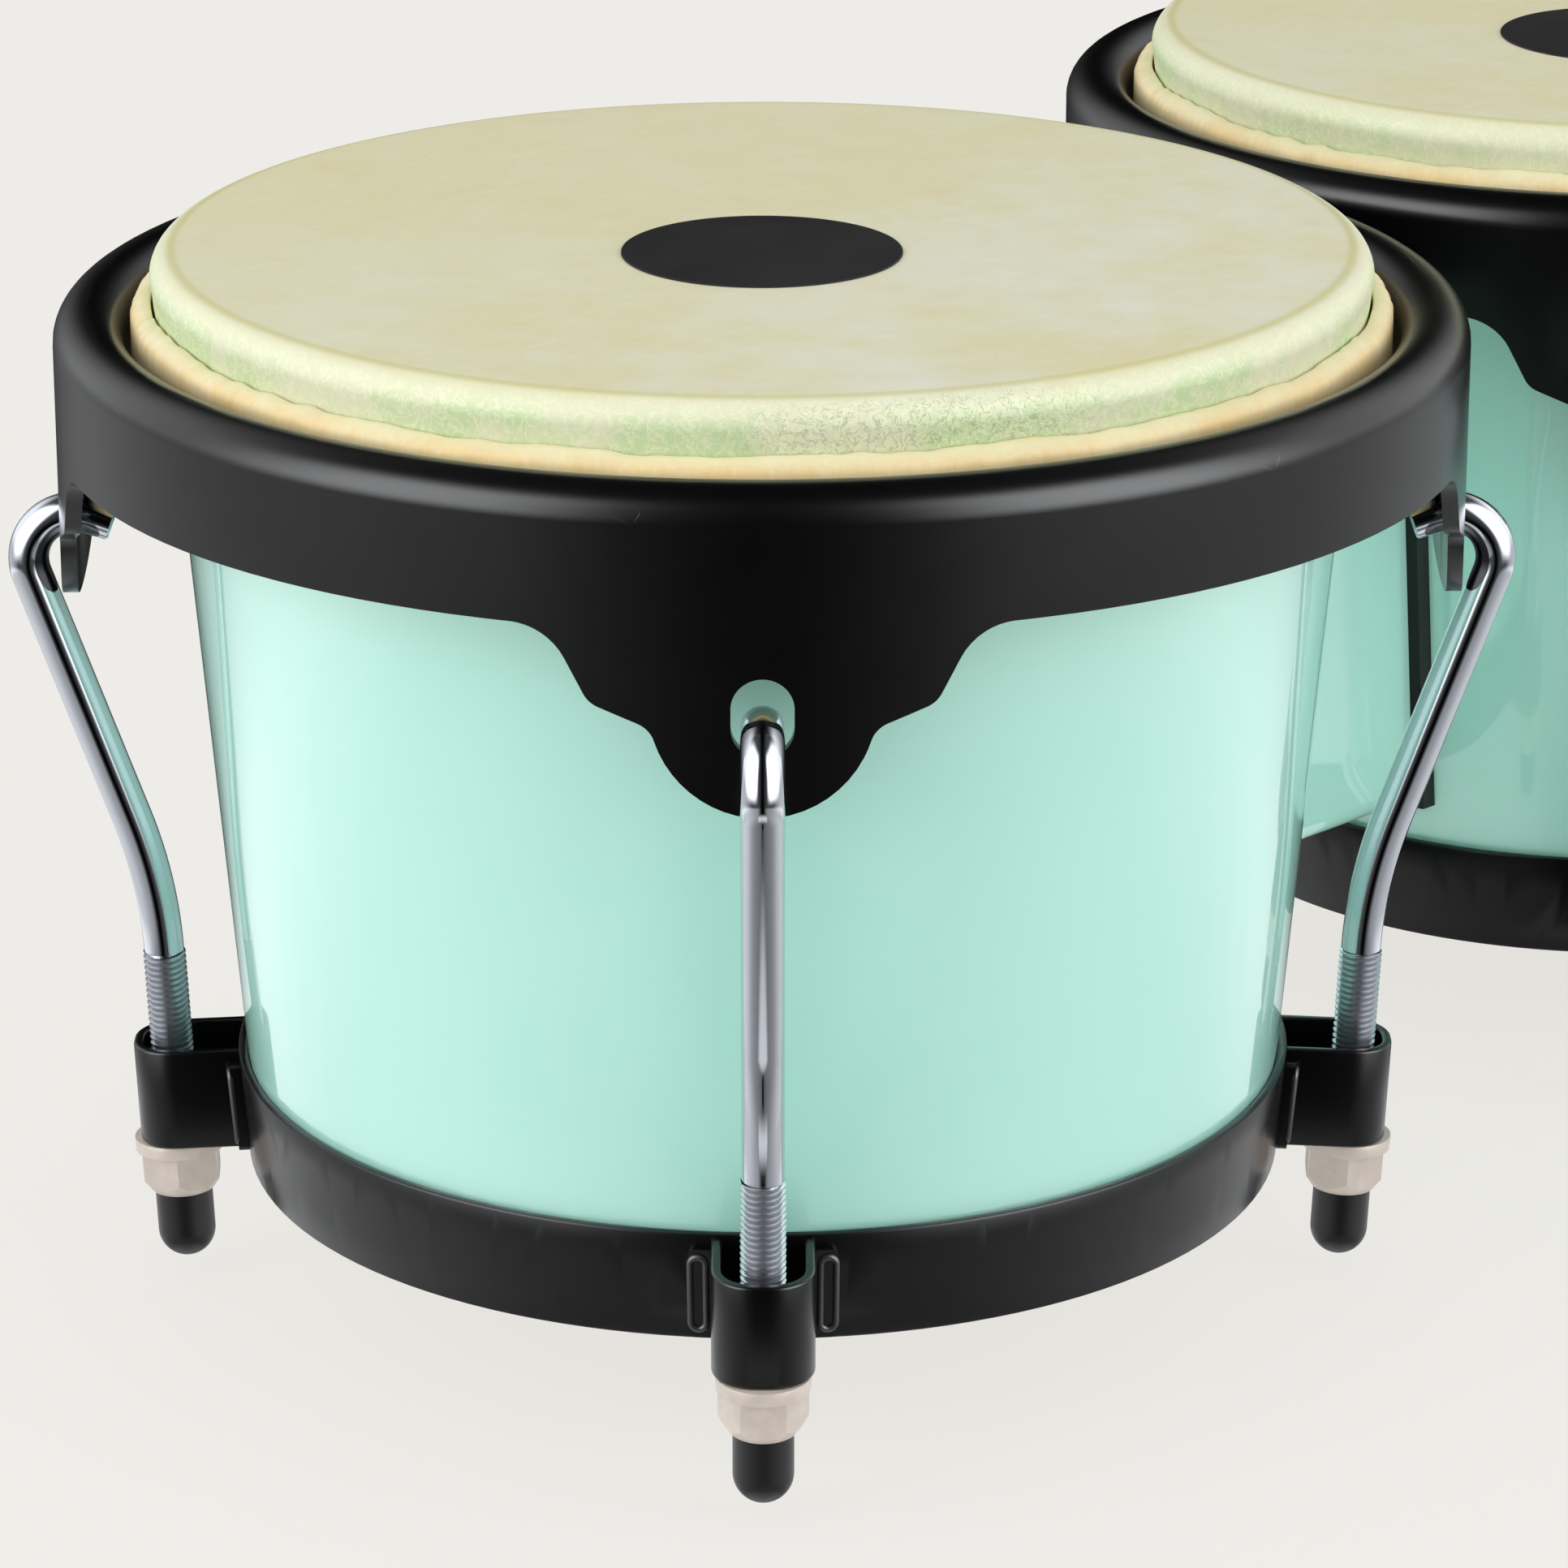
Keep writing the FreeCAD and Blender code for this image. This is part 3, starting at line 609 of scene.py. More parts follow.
def shoulder_colour(shader, place, wall_radius):
    """Pale hide with green patches, pale veins all round and dark scuffs on one side."""
    sizes = settings().head
    patches = clouds(shader, Place=place, Scale=34.0, Spread=0.07)["Mask"]
    low = shader.ramp(shader.split(place)[2], -1.0 * MM, -4.5 * MM)
    bend = shader.over(sizes.shoulder, shader.times(patches, low), 0.8, sizes.shoulder_green)
    speckle = shader.noise(place, 1500.0, detail=3.0, roughness=0.75)
    bend = shader.over(bend, shader.ramp(speckle, 0.5, 0.68), 0.55, sizes.hide_pale)
    veins = scribbles(shader, Place=place, Scale=400.0, Width=0.045)["Mask"]
    bend = shader.over(bend, veins, 0.6, tinted(sizes.shoulder, 1.12))
    scuffs = scribbles(shader, Place=shader.vector("ADD", place, (0.3, 0.1, 0.2)), Scale=640.0,
                       Width=0.035)["Mask"]
    ahead = shader.vector("DOT_PRODUCT", place, (-0.5, -0.866, 0.0))
    ahead = shader.math("MULTIPLY_ADD", shader.noise(place, 60.0), 12 * MM, ahead)
    where = shader.ramp(ahead, wall_radius - 1 * MM, wall_radius + 5 * MM)
    return shader.over(bend, shader.times(scuffs, where), 0.5, tinted(sizes.shoulder_green, 0.5))


def collar_material(drum, high):
    """The skin's trimmed edge: golden, with upright wrinkles and a pale cut; the deeper gold in
    the wrinkles' hollows is partly the hide's own tone and partly painted shade.
    """
    sizes = settings().head
    material, principled, shader = new_material(f"{drum}_collar")
    centre = drum_axis(drum)
    folds = shader.noise(shader.centred(centre, (1, 1, 0.08)), 90.0, 4.0, 0.65)
    fine = shader.noise(shader.centred(centre, (1, 1, 0.15)), 900.0, 3.0, 0.7)
    both = shader.sum(fine, 0.35, folds, 0.65)
    # deeper gold where the bump is low: partly the hide's own tone, partly painted shade in the
    # folds
    base = shader.mix(shader.ramp(both, 0.36, 0.66), sizes.collar_gold_and_fold_shade, sizes.collar)
    cut = shader.ramp(shader.split(shader.centred())[2], high - 1.6 * MM, high)
    shader.wire(principled, Base_Color=shader.over(base, cut, 0.55, sizes.shoulder),
                Roughness=shader.blend(both, 0.55, 0.4),
                Normal=shader.bump(both, 0.6, 0.25 * MM), Subsurface_Weight=0.2,
                Subsurface_Scale=1.5 * MM, Subsurface_Radius=(1.0, 0.7, 0.35),
                Specular_IOR_Level=0.35)
    return material


def grained_material(name, base, second, blotches, grain, **values):
    """A finish with faint clouds of a second colour in it and a fine grain."""
    material, principled, shader = new_material(name)
    place = shader.centred()
    fine = fine_grain(shader, Place=place, **grain)
    mask = clouds(shader, Place=place, **blotches)["Mask"]
    shader.wire(principled, Base_Color=shader.mix(mask, base, second),
                Roughness=fine["Roughness"], Normal=fine["Normal"], **values)
    return material


def coated(name, base, level, **grain):
    """Powder coat, rubber or plastic, made once; no packed material may have its name."""
    return bpy.data.materials.get(name) or grained_material(
        name, base, tinted(base, 1.35), {"Scale": 18.0, "Spread": 0.2}, grain,
        Specular_IOR_Level=level)


def plated(name, base, metallic=1.0, **grain):
    """Bright plating, made once, with clouds of wear and fine polishing marks."""
    return bpy.data.materials.get(name) or grained_material(
        name, base, tinted(base, 0.85), {"Scale": 60.0, "Spread": 0.12}, grain,
        Metallic=metallic)


def black_steel():
    sizes = settings().steel
    return coated("black_coat", sizes.coat, 0.42, Roughness=sizes.roughness, Swing=0.03,
                  Scale=1800.0, Bump=0.25)


def rod_material():
    """Bright chrome, duller and darker over the rolled thread."""
    sizes = settings().rod
    material, principled, shader = new_material("chrome_plate")
    place = shader.centred()
    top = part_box("large_tuning_rod_1")[0].z + sizes.thread_length * math.cos(rod_lean("large"))
    thread = shader.ramp(shader.split(place)[2], top + 0.6 * MM, top - 0.6 * MM)
    fine = fine_grain(shader, Place=place, Scale=700.0, Roughness=sizes.polish, Swing=0.04,
                      Bump=0.03)
    mask = clouds(shader, Place=place, Scale=60.0, Spread=0.12)["Mask"]
    plate = shader.mix(mask, sizes.chrome, tinted(sizes.chrome, 0.96))
    duller = shader.math("MULTIPLY_ADD", thread, sizes.thread_polish, fine["Roughness"])
    shader.wire(principled, Base_Color=shader.mix(thread, plate, tinted(sizes.chrome, 0.8)),
                Roughness=duller, Normal=fine["Normal"], Metallic=1.0)
    return material


def dress(node, material):
    """Gives a CAD node, which keeps its shape, its finish."""
    for slot in frame["nodes"][node].material_slots:
        slot.material = material


# ---------------------------------------------------------------- pieces


class BONGO_OT_shells(bpy.types.Operator):
    """Mint lacquer outside and bare wood inside the two shells, and the block between them"""
    bl_idname = "bongo.shells"
    bl_label = "Shells and centre block"

    def execute(self, context):
        rubber = coated("pad_rubber", settings().small.rubber, 0.4, Roughness=0.42, Swing=0.1,
                        Scale=1500.0, Bump=0.4)
        for drum in DRUMS:
            low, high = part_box(f"{drum}_shell")
            centre = drum_axis(drum) + Vector((0, 0, low.z))
            radius = half_width(f"{drum}_shell") - (high.z - low.z) * math.tan(TAPER)
            dress(f"{drum}_shell", lacquer_material(f"{drum}_lacquer", centre, radius - 4 * MM))
            dress(f"{drum}_block_pad", rubber)
        dress("centre_block", lacquer_material("block_lacquer", (0, 0, 0)))
        return {"FINISHED"}


class BONGO_OT_heads(bpy.types.Operator):
    """Playing skins, their trimmed edges and the discs on them"""
    bl_idname = "bongo.heads"
    bl_label = "Heads"

    def execute(self, context):
        for drum in DRUMS:
            make_skin(drum)
            make_collar(drum)
            make_disc(drum)
        return {"FINISHED"}


def make_skin(drum):
    sizes = settings().head
    low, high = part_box(f"{drum}_skin")
    top = high.z
    wall = half_width(f"{drum}_shell") + sizes.thickness
    corner = sizes.edge_round
    straight = 4 * MM
    outer_low = wall - (top - low.z) * math.tan(TAPER)
    flat = wall - corner
    under = top - sizes.thickness
    profile = along((0, top), (flat, top), 3.2 * MM)
    profile += arc((flat, top - corner), corner, 90, -math.degrees(TAPER), 12)
    profile += along((wall - straight * math.tan(TAPER), top - corner - straight / 2),
                     (outer_low, low.z), 1.5 * MM)
    profile += [(outer_low, low.z), (outer_low - sizes.thickness, low.z)]
    profile += arc((flat, top - corner), corner - sizes.thickness, 0, 90, 8)
    profile += along((flat - 1 * MM, under), (0, under), 8 * MM) + [(0, under)]
    bm = placed(spun(profile, settings().steps, closed=False),
                Matrix.Translation(drum_axis(drum)))
    finish_mesh(f"{drum}_head", bm, "frame", hide_material(drum, top, flat, wall),
                60, f"{drum}_skin")


def make_collar(drum):
    """The wrapping round the hoop, turned up to a thin, hand-cut, wrinkled edge."""
    sizes = settings().head
    low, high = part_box(f"{drum}_skin_collar")
    hoop_low, hoop_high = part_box(f"{drum}_flesh_hoop")
    level = (hoop_low.z + hoop_high.z) / 2
    wrap = level - low.z
    middle = half_width(f"{drum}_flesh_hoop") - (hoop_high.z - hoop_low.z) / 2
    inner = collar_inner_radius(drum)
    outer = inner + sizes.collar_thickness
    top = high.z - sizes.edge_drop
    start, end = (math.degrees(math.acos(max(-1.0, min(1.0, (side - middle) / wrap))))
                  for side in (outer, inner))
    lean = top - sizes.lean_height
    lip = inner - sizes.edge_lean
    flat = lip + sizes.edge_flat
    nick = 0.3 * MM
    profile = arc((middle, level), wrap, start, end - 360, 28)
    profile += along((inner, level + wrap), (inner, lean), 1.2 * MM)
    profile += along((inner, lean), (lip, top - nick), 1.2 * MM)
    profile += [(lip, top - nick), (lip + nick / 2, top), (flat, top)]
    profile += [(flat + x * (outer - flat), top + (y - 1) * sizes.edge_fall)
                for x, y in arc((0, 0), 1.0, 90, 0, 8)[1:]]
    profile += along((outer, top - sizes.edge_fall - 0.8 * MM), (outer, level + wrap * 0.9),
                     0.9 * MM)
    bm = spun(profile, 3 * settings().steps)
    wrinkle(bm, inner, level + wrap, top)
    placed(bm, Matrix.Translation(drum_axis(drum)))
    finish_mesh(f"{drum}_collar", bm, f"{drum}_tension",
                collar_material(drum, top), 70, f"{drum}_skin_collar")


def wrinkle(bm, inner, foot, top):
    """Waves the collar's cut edge up and down, and pleats its outer side, from its foot up."""
    sizes = settings().head
    for vert in bm.verts:
        x, y, z = vert.co
        around = Vector((x, y, 0)).normalized()
        grown = max(0.0, min(1.0, (z - foot) / (top - foot)))
        slow = noise.noise(around * 7.0 + Vector((0, 0, 3.1)))
        quick = noise.noise(around * 22.0)
        ragged = noise.noise(around * 70.0 + Vector((0, 0, 7.7)))
        pleat = noise.noise(around * 60.0 + Vector((0, 0, z * 30)))
        vert.co.z += grown ** 3 * sizes.wave * (0.9 * slow + 0.5 * quick + 0.12 * ragged)
        if math.hypot(x, y) > inner + 0.9 * MM:
            vert.co += around * (grown * sizes.wrinkle * (pleat + 0.6 * quick - 0.4))


def collar_inner_radius(drum):
    """The collar stands off the skin's side by the running gap, at its own top."""
    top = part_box(f"{drum}_skin_collar")[1].z
    mesh = frame["nodes"][f"{drum}_skin_collar"].data
    centre = drum_axis(drum)
    return min(math.hypot(v.co.x - centre.x, v.co.y) for v in mesh.vertices
               if v.co.z > top - 0.5 * MM)


def make_disc(drum):
    low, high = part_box(f"{drum}_head_disc")
    radius = (high.x - low.x) / 2
    edge = (high.z - low.z) * 0.6
    profile = along((0, high.z), (radius - edge, high.z), 2 * MM)
    profile += arc((radius - edge, high.z - edge), edge, 90, 0, 4)
    profile += [(radius, low.z), (0, low.z)]
    bm = placed(spun(profile, 128, closed=False),
                Matrix.Translation(((low.x + high.x) / 2, (low.y + high.y) / 2, 0)))
    material = coated(f"{drum}_disc_print", settings().head.disc, 0.12, Roughness=0.6,
                      Swing=0.15, Scale=1200.0, Bump=0.5)
    finish_mesh(f"{drum}_disc", bm, "frame", material, node=f"{drum}_head_disc")


class BONGO_OT_black_steel(bpy.types.Operator):
    """Rims, bottom bands and lug brackets, with eased edges and weld beads"""
    bl_idname = "bongo.black_steel"
    bl_label = "Rims, bands and brackets"

    def execute(self, context):
        edge = settings().steel.edge
        for drum in DRUMS:
            rim = steel_piece(f"{drum}_rolled_rim", eased_copy(f"{drum}_rim", edge),
                              f"{drum}_tension", f"{drum}_rim")
            even_rounds(rim, drum)
            band = f"{drum}_bottom_band"
            steel_piece(f"{drum}_band", eased_copy(band, edge), node=band)
            for lug in LUGS:
                make_bracket(drum, lug)
                make_welds(drum, lug)
        return {"FINISHED"}


def even_rounds(rim, drum):
    """Shades the rim's crown and its skirt as the true rounds that the facets stand for."""
    mesh = rim.data
    crown = settings().steel.crown
    radius = half_width(f"{drum}_rim")
    centre = drum_axis(drum) + Vector((0, 0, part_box(f"{drum}_rim")[1].z - crown))
    normals = []
    for face in mesh.polygons:
        for index in face.vertices:
            around = mesh.vertices[index].co - centre
            above = Vector((0, 0, max(0.0, around.z)))
            around.z = 0
            normal = around.normalized() * (around.length - (radius - crown)) + above
            on_round = abs(normal.length - crown) < 0.03 * MM
            normal.normalize()
            normals.append(normal if on_round and face.normal.dot(normal) > 0.95 else Vector())
    mesh.normals_split_custom_set(normals)


def make_bracket(drum, lug):
    """A strap bent round the rod in a U, and the two flanges that hold it on the band."""
    steel_piece(f"{drum}_strap_{lug}", strap_shape(drum, lug),
                node=f"{drum}_lug_bracket_{lug}")
    for side, end in SIDES:
        steel_piece(f"{drum}_flange_{lug}{end}", flange_shape(drum, lug, side))


def strap_shape(drum, lug):
    """The strap's outer face drawn round its two bends, then given its wall."""
    sizes = settings().steel
    base = Vector((rod_axis_radius(drum, shell_bottom()), 0, shell_bottom()))
    turn = sizes.strap_turn
    bend_x = sizes.strap_reach - turn
    bend_y = sizes.strap_width / 2 - turn
    into_band = 0.9 * MM
    run = bend_x + base.x - band_radius(drum, shell_bottom()) + into_band
    bm = bmesh.new()
    corners = [bm.verts.new((bend_x - run, -sizes.strap_width / 2, z))
               for z in (0, sizes.strap_height)]
    loop = extruded(bm, [bm.edges.new(corners)], (run, 0, 0))
    loop = swept(bm, loop, (bend_x, -bend_y, 0), UPRIGHT, math.pi / 2, 10)
    loop = extruded(bm, loop, (0, 2 * bend_y, 0))
    loop = swept(bm, loop, (bend_x, bend_y, 0), UPRIGHT, math.pi / 2, 10)
    extruded(bm, loop, (-run, 0, 0))
    outward(bm).normal_update()
    facing = max(bm.faces, key=lambda f: f.calc_center_median().x).normal.x
    bmesh.ops.solidify(bm, geom=bm.faces[:], thickness=math.copysign(sizes.strap, facing))
    outward(bm)
    ease(bm, sharp_edges(bm, 60), sizes.edge, 3)
    return placed(bm, lug_frame(drum, lug) @ Matrix.Translation(base)
                  @ Matrix.Rotation(rod_lean(drum), 4, "Y"))


def flange_shape(drum, lug, side):
    """A plate that follows the band, from inside the strap's wall out to its round corners."""
    sizes = settings().steel
    low = shell_bottom() + (sizes.strap_height - sizes.flange_height) / 2
    high = low + sizes.flange_height
    radius = {z: band_radius(drum, z) for z in (low, high)}
    inner = math.asin((sizes.strap_width - sizes.strap) / 2 / radius[low])
    outer = math.asin(sizes.flange_width / 2 / radius[low])
    bm = bmesh.new()
    section = bm.faces.new([bm.verts.new((radius[z] + out * sizes.weld_stand, 0, z))
                            for z, out in ((low, 0), (low, 1), (high, 1), (high, 0))])
    placed(bm, Matrix.Rotation(side * inner, 4, "Z"))
    end = swept(bm, [*section.edges, section], (0, 0, 0), UPRIGHT, side * (outer - inner), 4)
    corners = [e for e in end if abs(e.verts[0].co.z - e.verts[1].co.z) < 1 * MM]
    ease(bm, corners, sizes.flange_round, 6)
    return placed(outward(bm), lug_frame(drum, lug))


def make_welds(drum, lug):
    """A ring of weld on each end of the bracket's strap, lying on the band's side; its coat is a
    lighter grey than the black steel, a painted highlight on the bead.
    """
    sizes = settings().steel
    low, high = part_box(f"{drum}_lug_bracket_{lug}")
    level = (low.z + high.z) / 2
    face = band_radius(drum, level) + sizes.weld_stand
    # the lighter grey of this coat is a painted highlight on the weld beads
    material = coated("weld_highlight_coat", sizes.weld_highlight_coat, 1.0, Roughness=0.42, Swing=0.1,
                      Scale=1400.0, Bump=0.5)
    for side, end in SIDES:
        bm = placed(weld_ring(), lug_frame(drum, lug)
                    @ Matrix.Rotation(side * math.asin(sizes.weld_offset / face), 4, "Z")
                    @ Matrix.Translation((face, 0, level)) @ Matrix.Rotation(TAPER, 4, "Y"))
        finish_mesh(f"{drum}_weld_{lug}{end}", bm, "frame", material, 60)


def weld_ring():
    """A bead in the shape of a stadium, standing in the YZ plane about the origin."""
    sizes = settings().steel
    bm = bmesh.new()
    straight = sizes.weld_height - sizes.weld_width
    loop = circle(bm, 8, sizes.weld, (0, sizes.weld_width / 2, -straight / 2))
    for side in (1, -1):
        loop = extruded(bm, loop, (0, 0, side * straight))
        loop = swept(bm, loop, (0, 0, side * straight / 2), (1, 0, 0), math.pi, 8)
    bmesh.ops.remove_doubles(bm, verts=bm.verts, dist=0.01 * MM)
    return outward(bm)


def band_radius(drum, z):
    """Radius of the band's outer face at height z."""
    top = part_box(f"{drum}_bottom_band")[1].z
    return half_width(f"{drum}_bottom_band") - (top - z) * math.tan(TAPER)


class BONGO_OT_rods(bpy.types.Operator):
    """Chrome tuning rods: rolled thread, bent shank and hook"""
    bl_idname = "bongo.rods"
    bl_label = "Tuning rods"

    def execute(self, context):
        chrome = rod_material()
        for drum in DRUMS:
            for lug in LUGS:
                finish_mesh(f"{drum}_rod_{lug}", placed(rod_shape(drum), lug_frame(drum, lug)),
                            f"{drum}_tension", chrome, 35, f"{drum}_tuning_rod_{lug}")
        return {"FINISHED"}


def thread_shape(sizes):
    """A rolled thread about Z, from the origin up, made of doubled turns."""
    bm = bmesh.new()
    section = ((sizes.root, 0), (sizes.root, 0.12), (sizes.crest, 0.42), (sizes.crest, 0.58),
               (sizes.root, 0.88), (sizes.root, 1.0))
    verts = [bm.verts.new((r, 0, part * sizes.pitch)) for r, part in section]
    edges = [bm.edges.new(pair) for pair in zip(verts, verts[1:])]
    steps = 20
    bmesh.ops.spin(bm, geom=verts + edges, cent=(0, 0, 0), axis=UPRIGHT,
                   dvec=(0, 0, sizes.pitch / steps), angle=math.tau, steps=steps)
    repeated(bm, math.ceil(math.log2(sizes.thread_length / sizes.pitch)),
             Matrix.Translation((0, 0, sizes.pitch)))
    for height, side in ((0, -1), (sizes.thread_length, 1)):
        geom = bm.verts[:] + bm.edges[:] + bm.faces[:]
        bmesh.ops.bisect_plane(bm, geom=geom, plane_co=(0, 0, height), plane_no=(0, 0, side),
                               clear_outer=True)
    return outward(bm)


def rod_shape(drum):
    """One rod in the XZ plane: thread, outward bend, leaning shank, hook and end."""
    sizes = settings().rod
    low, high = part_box(f"{drum}_tuning_rod_1")
    tilt = rod_lean(drum)
    bend_z = shell_bottom() + sizes.bend_height
    bend = Vector((rod_axis_radius(drum, bend_z), 0, bend_z))
    hook = Vector((half_width(f"{drum}_rim") - sizes.hook_inset, 0,
                   high.z - sizes.hook_radius - sizes.shank))
    gap = hook - bend
    lean = math.atan2(gap.x, gap.z) + math.asin(sizes.hook_radius / gap.length)
    up = Vector((math.sin(tilt), 0, math.cos(tilt)))
    side = Vector((math.cos(tilt), 0, -math.sin(tilt)))
    out = Vector((math.sin(lean), 0, math.cos(lean)))
    from_hook = Vector((math.cos(lean), 0, -math.sin(lean))) * sizes.hook_radius
    start = bend - up * ((bend.z - low.z) / math.cos(tilt) - sizes.crest * math.tan(tilt))
    tangent = sizes.bend_radius * math.tan((lean - tilt) / 2)
    level = (0, 1, 0)

    bm = thread_shape(sizes)
    neck = sizes.root * 0.98
    run_out = 0.9 * MM
    shank_start = sizes.thread_length - 0.4 * MM
    loop = circle(bm, 32, neck, (0, 0, shank_start))
    loop = extruded(bm, loop, (0, 0, run_out))
    widened(bm, loop, sizes.shank / neck)
    placed(bm, Matrix.Translation(start) @ Matrix.Rotation(tilt, 4, "Y"))
    here = start + up * (shank_start + run_out)
    loop = extruded(bm, loop, bend - up * tangent - here)
    loop = swept(bm, loop, bend - up * tangent + side * sizes.bend_radius, level, lean - tilt, 12)
    loop = extruded(bm, loop, hook + from_hook - (bend + out * tangent))
    loop = swept(bm, loop, hook, level, -(math.pi / 2 + sizes.hook_droop + lean), 26)
    away = Vector((-math.cos(sizes.hook_droop), 0, -math.sin(sizes.hook_droop)))
    chamfer = 0.4 * MM
    loop = extruded(bm, loop, away * (sizes.hook_end - chamfer))
    loop = extruded(bm, loop, away * chamfer)
    widened(bm, loop, 1 - chamfer / sizes.shank)
    bmesh.ops.contextual_create(bm, geom=loop)
    return outward(bm)


class BONGO_OT_small_parts(bpy.types.Operator):
    """Lug nuts, end caps and the bolts, washers, saddles and bushes that hold the block"""
    bl_idname = "bongo.small_parts"
    bl_label = "Nuts, caps and bolts"

    def execute(self, context):
        sizes = settings().small
        nickel = plated("nickel_plate", sizes.nickel, metallic=0.15, Roughness=0.36, Swing=0.12,
                        Scale=1600.0, Bump=0.12)
        brass = plated("bush_brass", (0.62, 0.45, 0.16), Roughness=0.3, Swing=0.15, Scale=1600.0,
                       Bump=0.3)
        zinc = plated("zinc_plate", (0.55, 0.56, 0.58), Roughness=0.32, Swing=0.2,
                      Scale=1400.0, Bump=0.4)
        cap = coated("end_cap_rubber", sizes.rubber, 0.45, Roughness=0.36, Swing=0.08,
                     Scale=1200.0, Bump=0.3)
        for drum in DRUMS:
            for lug in LUGS:
                nut = f"{drum}_lug_nut_{lug}"
                finish_mesh(f"{drum}_nut_{lug}_turned", eased_copy(nut, sizes.edge),
                            f"{drum}_nut_{lug}", nickel, 30, nut)
                dress(f"{drum}_end_cap_{lug}", cap)
            for node in ("block_bolts", "bolt_washers", "bolt_saddle", "flesh_hoop"):
                dress(f"{drum}_{node}", zinc)
            dress(f"{drum}_block_inserts", brass)
        return {"FINISHED"}


# ---------------------------------------------------------------- stage


class BONGO_OT_stage(bpy.types.Operator):
    """Pale floor, soft lights and the camera"""
    bl_idname = "bongo.stage"
    bl_label = "Floor, lights and camera"

    def execute(self, context):
        make_floor()
        make_room()
        make_lights()
        make_camera()
        context.scene.view_settings.view_transform = "Standard"
        context.scene.view_settings.look = "None"
        return {"FINISHED"}


def make_floor():
    """A floor that mostly glows evenly and only lightly takes shadows."""
    stage = settings().stage
    bm = bmesh.new()
    bmesh.ops.create_grid(bm, x_segments=8, y_segments=8, size=6.0,
                          matrix=Matrix.Translation((0, 0, -stage.drop)))
    mesh = bpy.data.meshes.new("floor")
    bm.to_mesh(mesh)
    bm.free()
    material, principled, shader = new_material("pale_floor")
    shader.tree.nodes.remove(principled)
    glow = shader.node("ShaderNodeEmission", Color=stage.floor, Strength=1.03)
    matt = shader.node("ShaderNodeBsdfDiffuse", Color=stage.floor)
    shader.wire(shader.tree.nodes["Material Output"],
                Surface=shader.lights(stage.shade, glow[0], matt[0]))
    mesh.materials.append(material)
    floor = bpy.data.objects.new("floor", mesh)
    bpy.context.scene.collection.objects.link(floor)
    floor.visible_glossy = False


def make_room():
    """Even light from all round; reflections see dark studio in front and cards at the sides."""
    stage = settings().stage
    world = bpy.data.worlds.new("room")
    world.use_nodes = True
    shader = Shader(world.node_tree)
    even = shader.wire(shader.tree.nodes["Background"], Color=(1, 1, 1), Strength=stage.room)
    seen = shader.node("ShaderNodeBackground", Color=stage.floor, Strength=1.0)
    mirrored = shader.node("ShaderNodeBackground", Color=(0.97, 0.985, 1.0),
                           Strength=card_pattern(shader, stage))
    ray = shader.node("ShaderNodeLightPath")
    light = shader.lights(ray["Is Glossy Ray"], even[0], mirrored[0])
    shader.wire(shader.tree.nodes["World Output"],
                Surface=shader.lights(ray["Is Camera Ray"], light, seen[0]))
    bpy.context.scene.world = world


def card_pattern(shader, stage):
    """Brightness by direction: dark in the plane of the camera, bright at both sides."""
    direction = shader.node("ShaderNodeTexCoord")["Generated"]
    front = stage.heading + math.pi
    forward = shader.vector("DOT_PRODUCT", direction, (math.cos(front), math.sin(front), 0))
    aside = shader.vector("DOT_PRODUCT", direction, (-math.sin(front), math.cos(front), 0))
    height = shader.split(direction)[2]
    beside = shader.math("ABSOLUTE", aside)
    turn = shader.math("ARCTAN2", beside, forward)
    right = shader.ramp(aside, -0.02, 0.02)

    def turned(start, end):
        return shader.ramp(turn, math.radians(start), math.radians(end))

    def rising(start, end):
        return shader.ramp(height, start, end)

    plane = shader.blend(rising(-0.62, -0.75), shader.ramp(beside, 0.10, 0.45),
                         shader.ramp(beside, 0.02, 0.12))
    plane = shader.math("MAXIMUM", plane, shader.ramp(forward, 0.0, -0.2))
    table = shader.times(plane, shader.blend(right, stage.table, 0.85 * stage.table),
                         shader.math("MULTIPLY_ADD", turned(20, 100), 0.6, 0.5),
                         shader.blend(rising(-0.58, -0.78), 1.0, 0.50), rising(-0.34, -0.40))
    close = shader.math("MULTIPLY_ADD", shader.times(rising(-0.50, -0.62), rising(-0.76, -0.62)),
                        shader.ramp(beside, 0.45, 0.25), rising(-0.83, -0.86))
    lamp = shader.times(turned(20, 46), turned(104, 62), rising(-0.33, 0.16),
                        rising(0.90, 0.60), shader.blend(right, stage.left_lamp, stage.right_lamp))
    dim = shader.times(shader.ramp(beside, 0.05, 0.35), stage.dim)
    sides = shader.times(turned(42, 112), turned(172, 125), rising(0.9, 0.5),
                         rising(-0.48, -0.36), stage.card,
                         shader.math("ADD", rising(-0.15, 0.1), 1.0))
    slant = shader.math("MULTIPLY_ADD", shader.math("ADD", height, 0.49), -9.0, turn)
    slant = shader.math("MULTIPLY_ADD", right, math.radians(11), slant)
    sheet = shader.times(shader.ramp(slant, math.radians(126), math.radians(129)),
                         rising(-0.62, -0.56))
    near = shader.math("MAXIMUM", table, shader.times(close, stage.near))
    far = shader.math("MAXIMUM", dim, shader.math("MULTIPLY_ADD", sheet, stage.sheet, sides))
    both = shader.math("ADD", shader.math("ADD", near, lamp), far)
    return shader.math("ADD", both, 0.002)


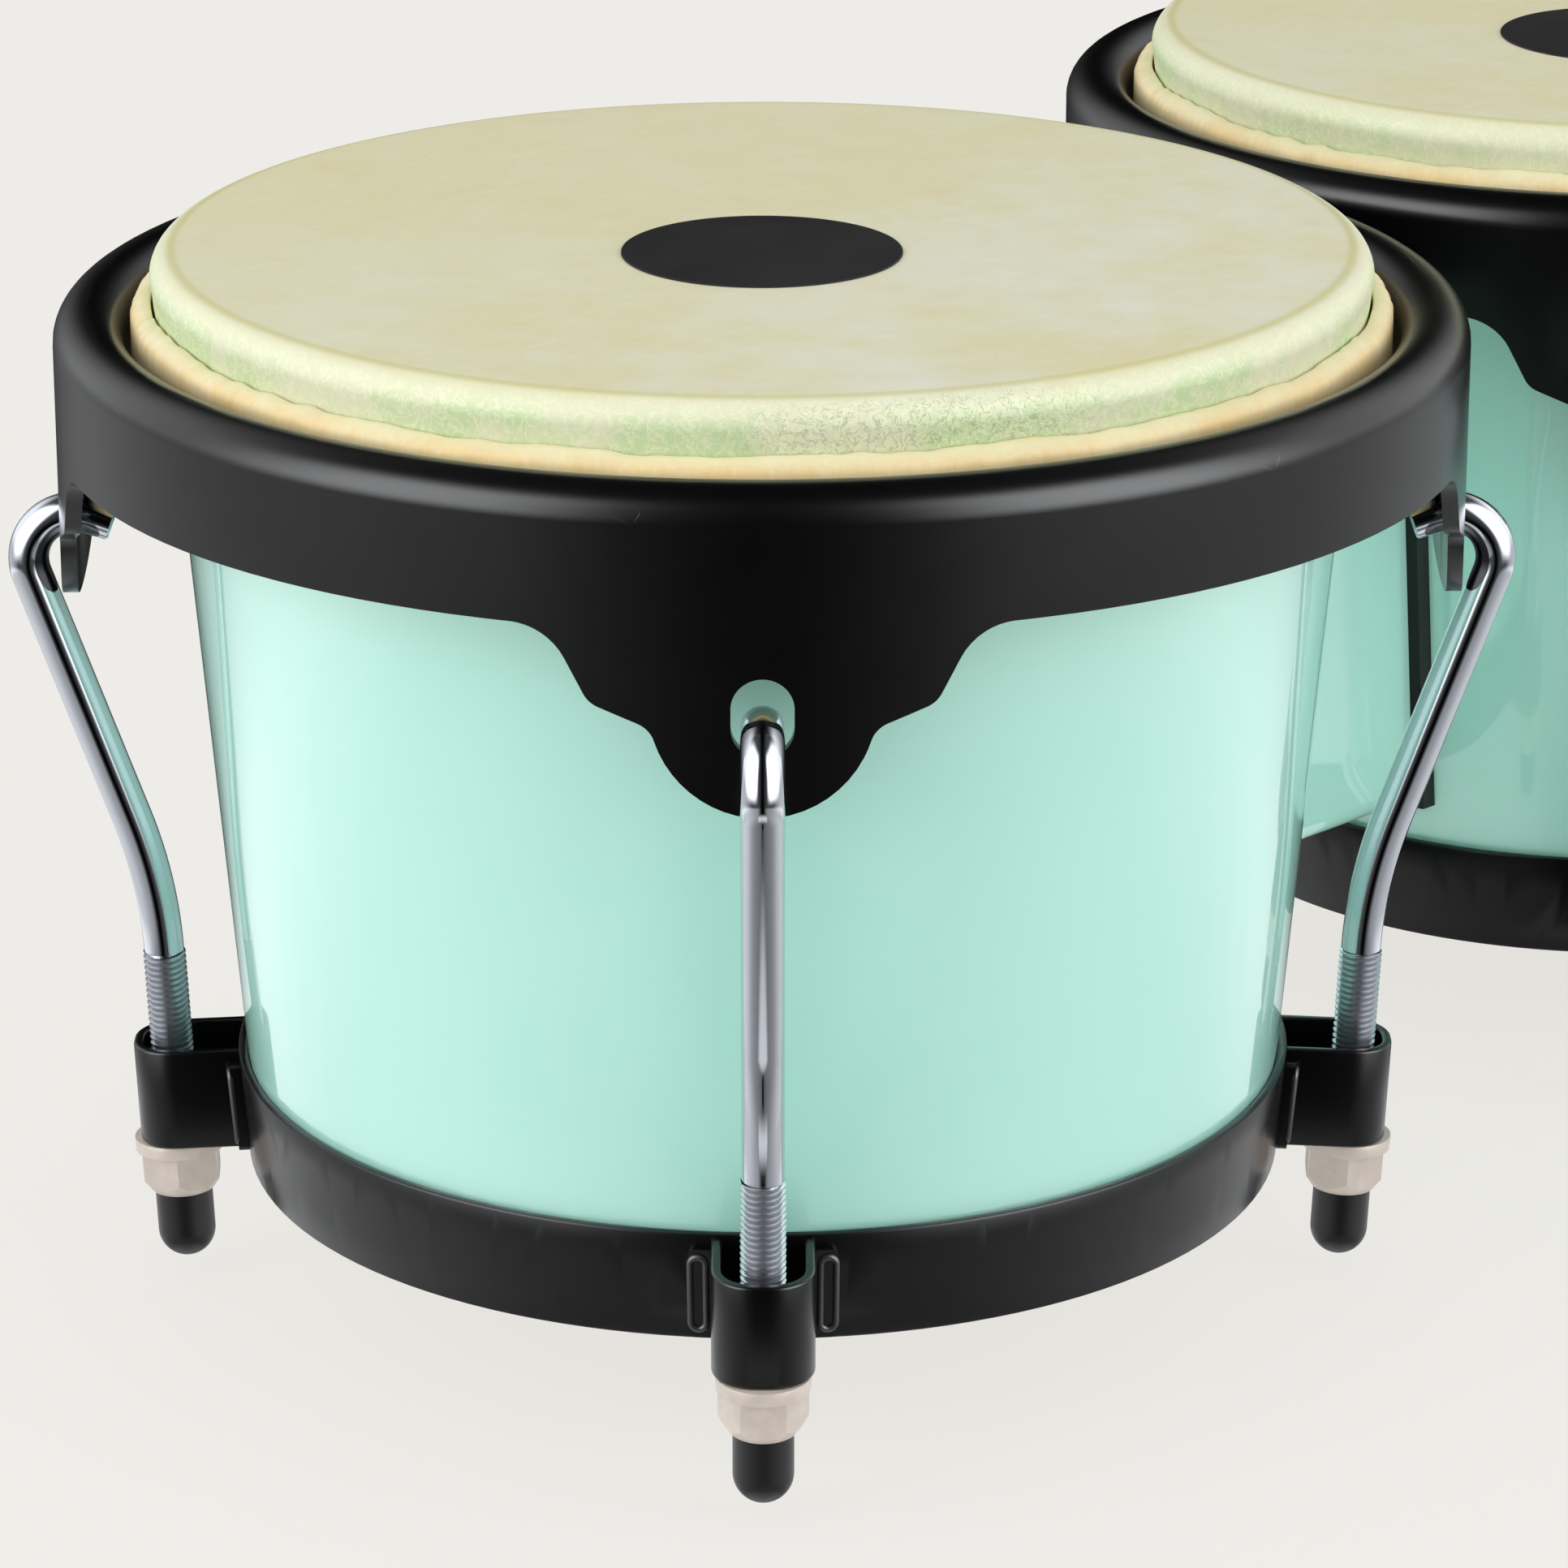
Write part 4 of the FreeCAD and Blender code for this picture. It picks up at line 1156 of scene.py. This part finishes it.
def make_lights():
    """Two soft lights, which reflections don't see: they see the room's lamps."""
    stage = settings().stage
    wide, tall = 0.75, 0.6
    rise = math.radians(20)
    for name, side, brightness in (("left", -1, stage.left), ("right", 1, stage.right)):
        light = bpy.data.lights.new(f"{name}_light", "AREA")
        light.shape = "RECTANGLE"
        light.size, light.size_y = wide, tall
        light.energy = brightness * wide * tall * math.pi
        heading = stage.heading + math.pi + side * math.radians(58)
        away = Vector((math.cos(heading) * math.cos(rise), math.sin(heading) * math.cos(rise),
                       math.sin(rise)))
        box = bpy.data.objects.new(light.name, light)
        box.location = Vector((0, 0, 0.1)) + away * 1.3
        box.rotation_euler = (-away).to_track_quat("-Z", "Y").to_euler()
        box.visible_camera = False
        box.visible_glossy = False
        bpy.context.scene.collection.objects.link(box)


def make_camera():
    stage = settings().stage
    data = bpy.data.cameras.new("camera")
    data.lens = stage.lens
    data.sensor_width = 36.0
    data.clip_end = 50.0
    camera = bpy.data.objects.new("camera", data)
    camera.location = (drum_axis("large").x - stage.distance * math.cos(stage.bearing),
                       -stage.distance * math.sin(stage.bearing), stage.height)
    turn = (Matrix.Rotation(stage.heading - math.pi / 2, 4, "Z")
            @ Matrix.Rotation(math.pi / 2 - stage.pitch, 4, "X"))
    camera.rotation_euler = turn.to_euler()
    bpy.context.scene.collection.objects.link(camera)
    bpy.context.scene.camera = camera


# ---------------------------------------------------------------- sidebar


class BONGO_PT_sidebar(bpy.types.Panel):
    bl_label = "Bongo drums"
    bl_idname = "BONGO_PT_sidebar"
    bl_space_type = "VIEW_3D"
    bl_region_type = "UI"
    bl_category = "Bongos"

    def draw(self, context):
        for step in STEPS:
            self.layout.operator(step.bl_idname)
        for name in ("shell", "head", "steel", "rod", "small", "stage"):
            values = getattr(context.scene.bongo, name)
            box = self.layout.box()
            for key in values.bl_rna.properties.keys():
                if key not in ("rna_type", "name"):
                    box.prop(values, key)


STEPS = (BONGO_OT_stage, BONGO_OT_shells, BONGO_OT_heads, BONGO_OT_black_steel, BONGO_OT_rods,
         BONGO_OT_small_parts)
CLASSES = (ShellSettings, HeadSettings, SteelSettings, RodSettings, SmallPartSettings,
           StageSettings, BongoSettings, *STEPS, BONGO_PT_sidebar)


def register():
    for cls in CLASSES:
        bpy.utils.register_class(cls)
    bpy.types.Scene.bongo = PointerProperty(type=BongoSettings)


def unregister():
    del bpy.types.Scene.bongo
    for cls in reversed(CLASSES):
        bpy.utils.unregister_class(cls)


def main():
    register()
    for step in STEPS:
        space, name = step.bl_idname.split(".")
        getattr(getattr(bpy.ops, space), name)()


if __name__ == "__main__":
    main()
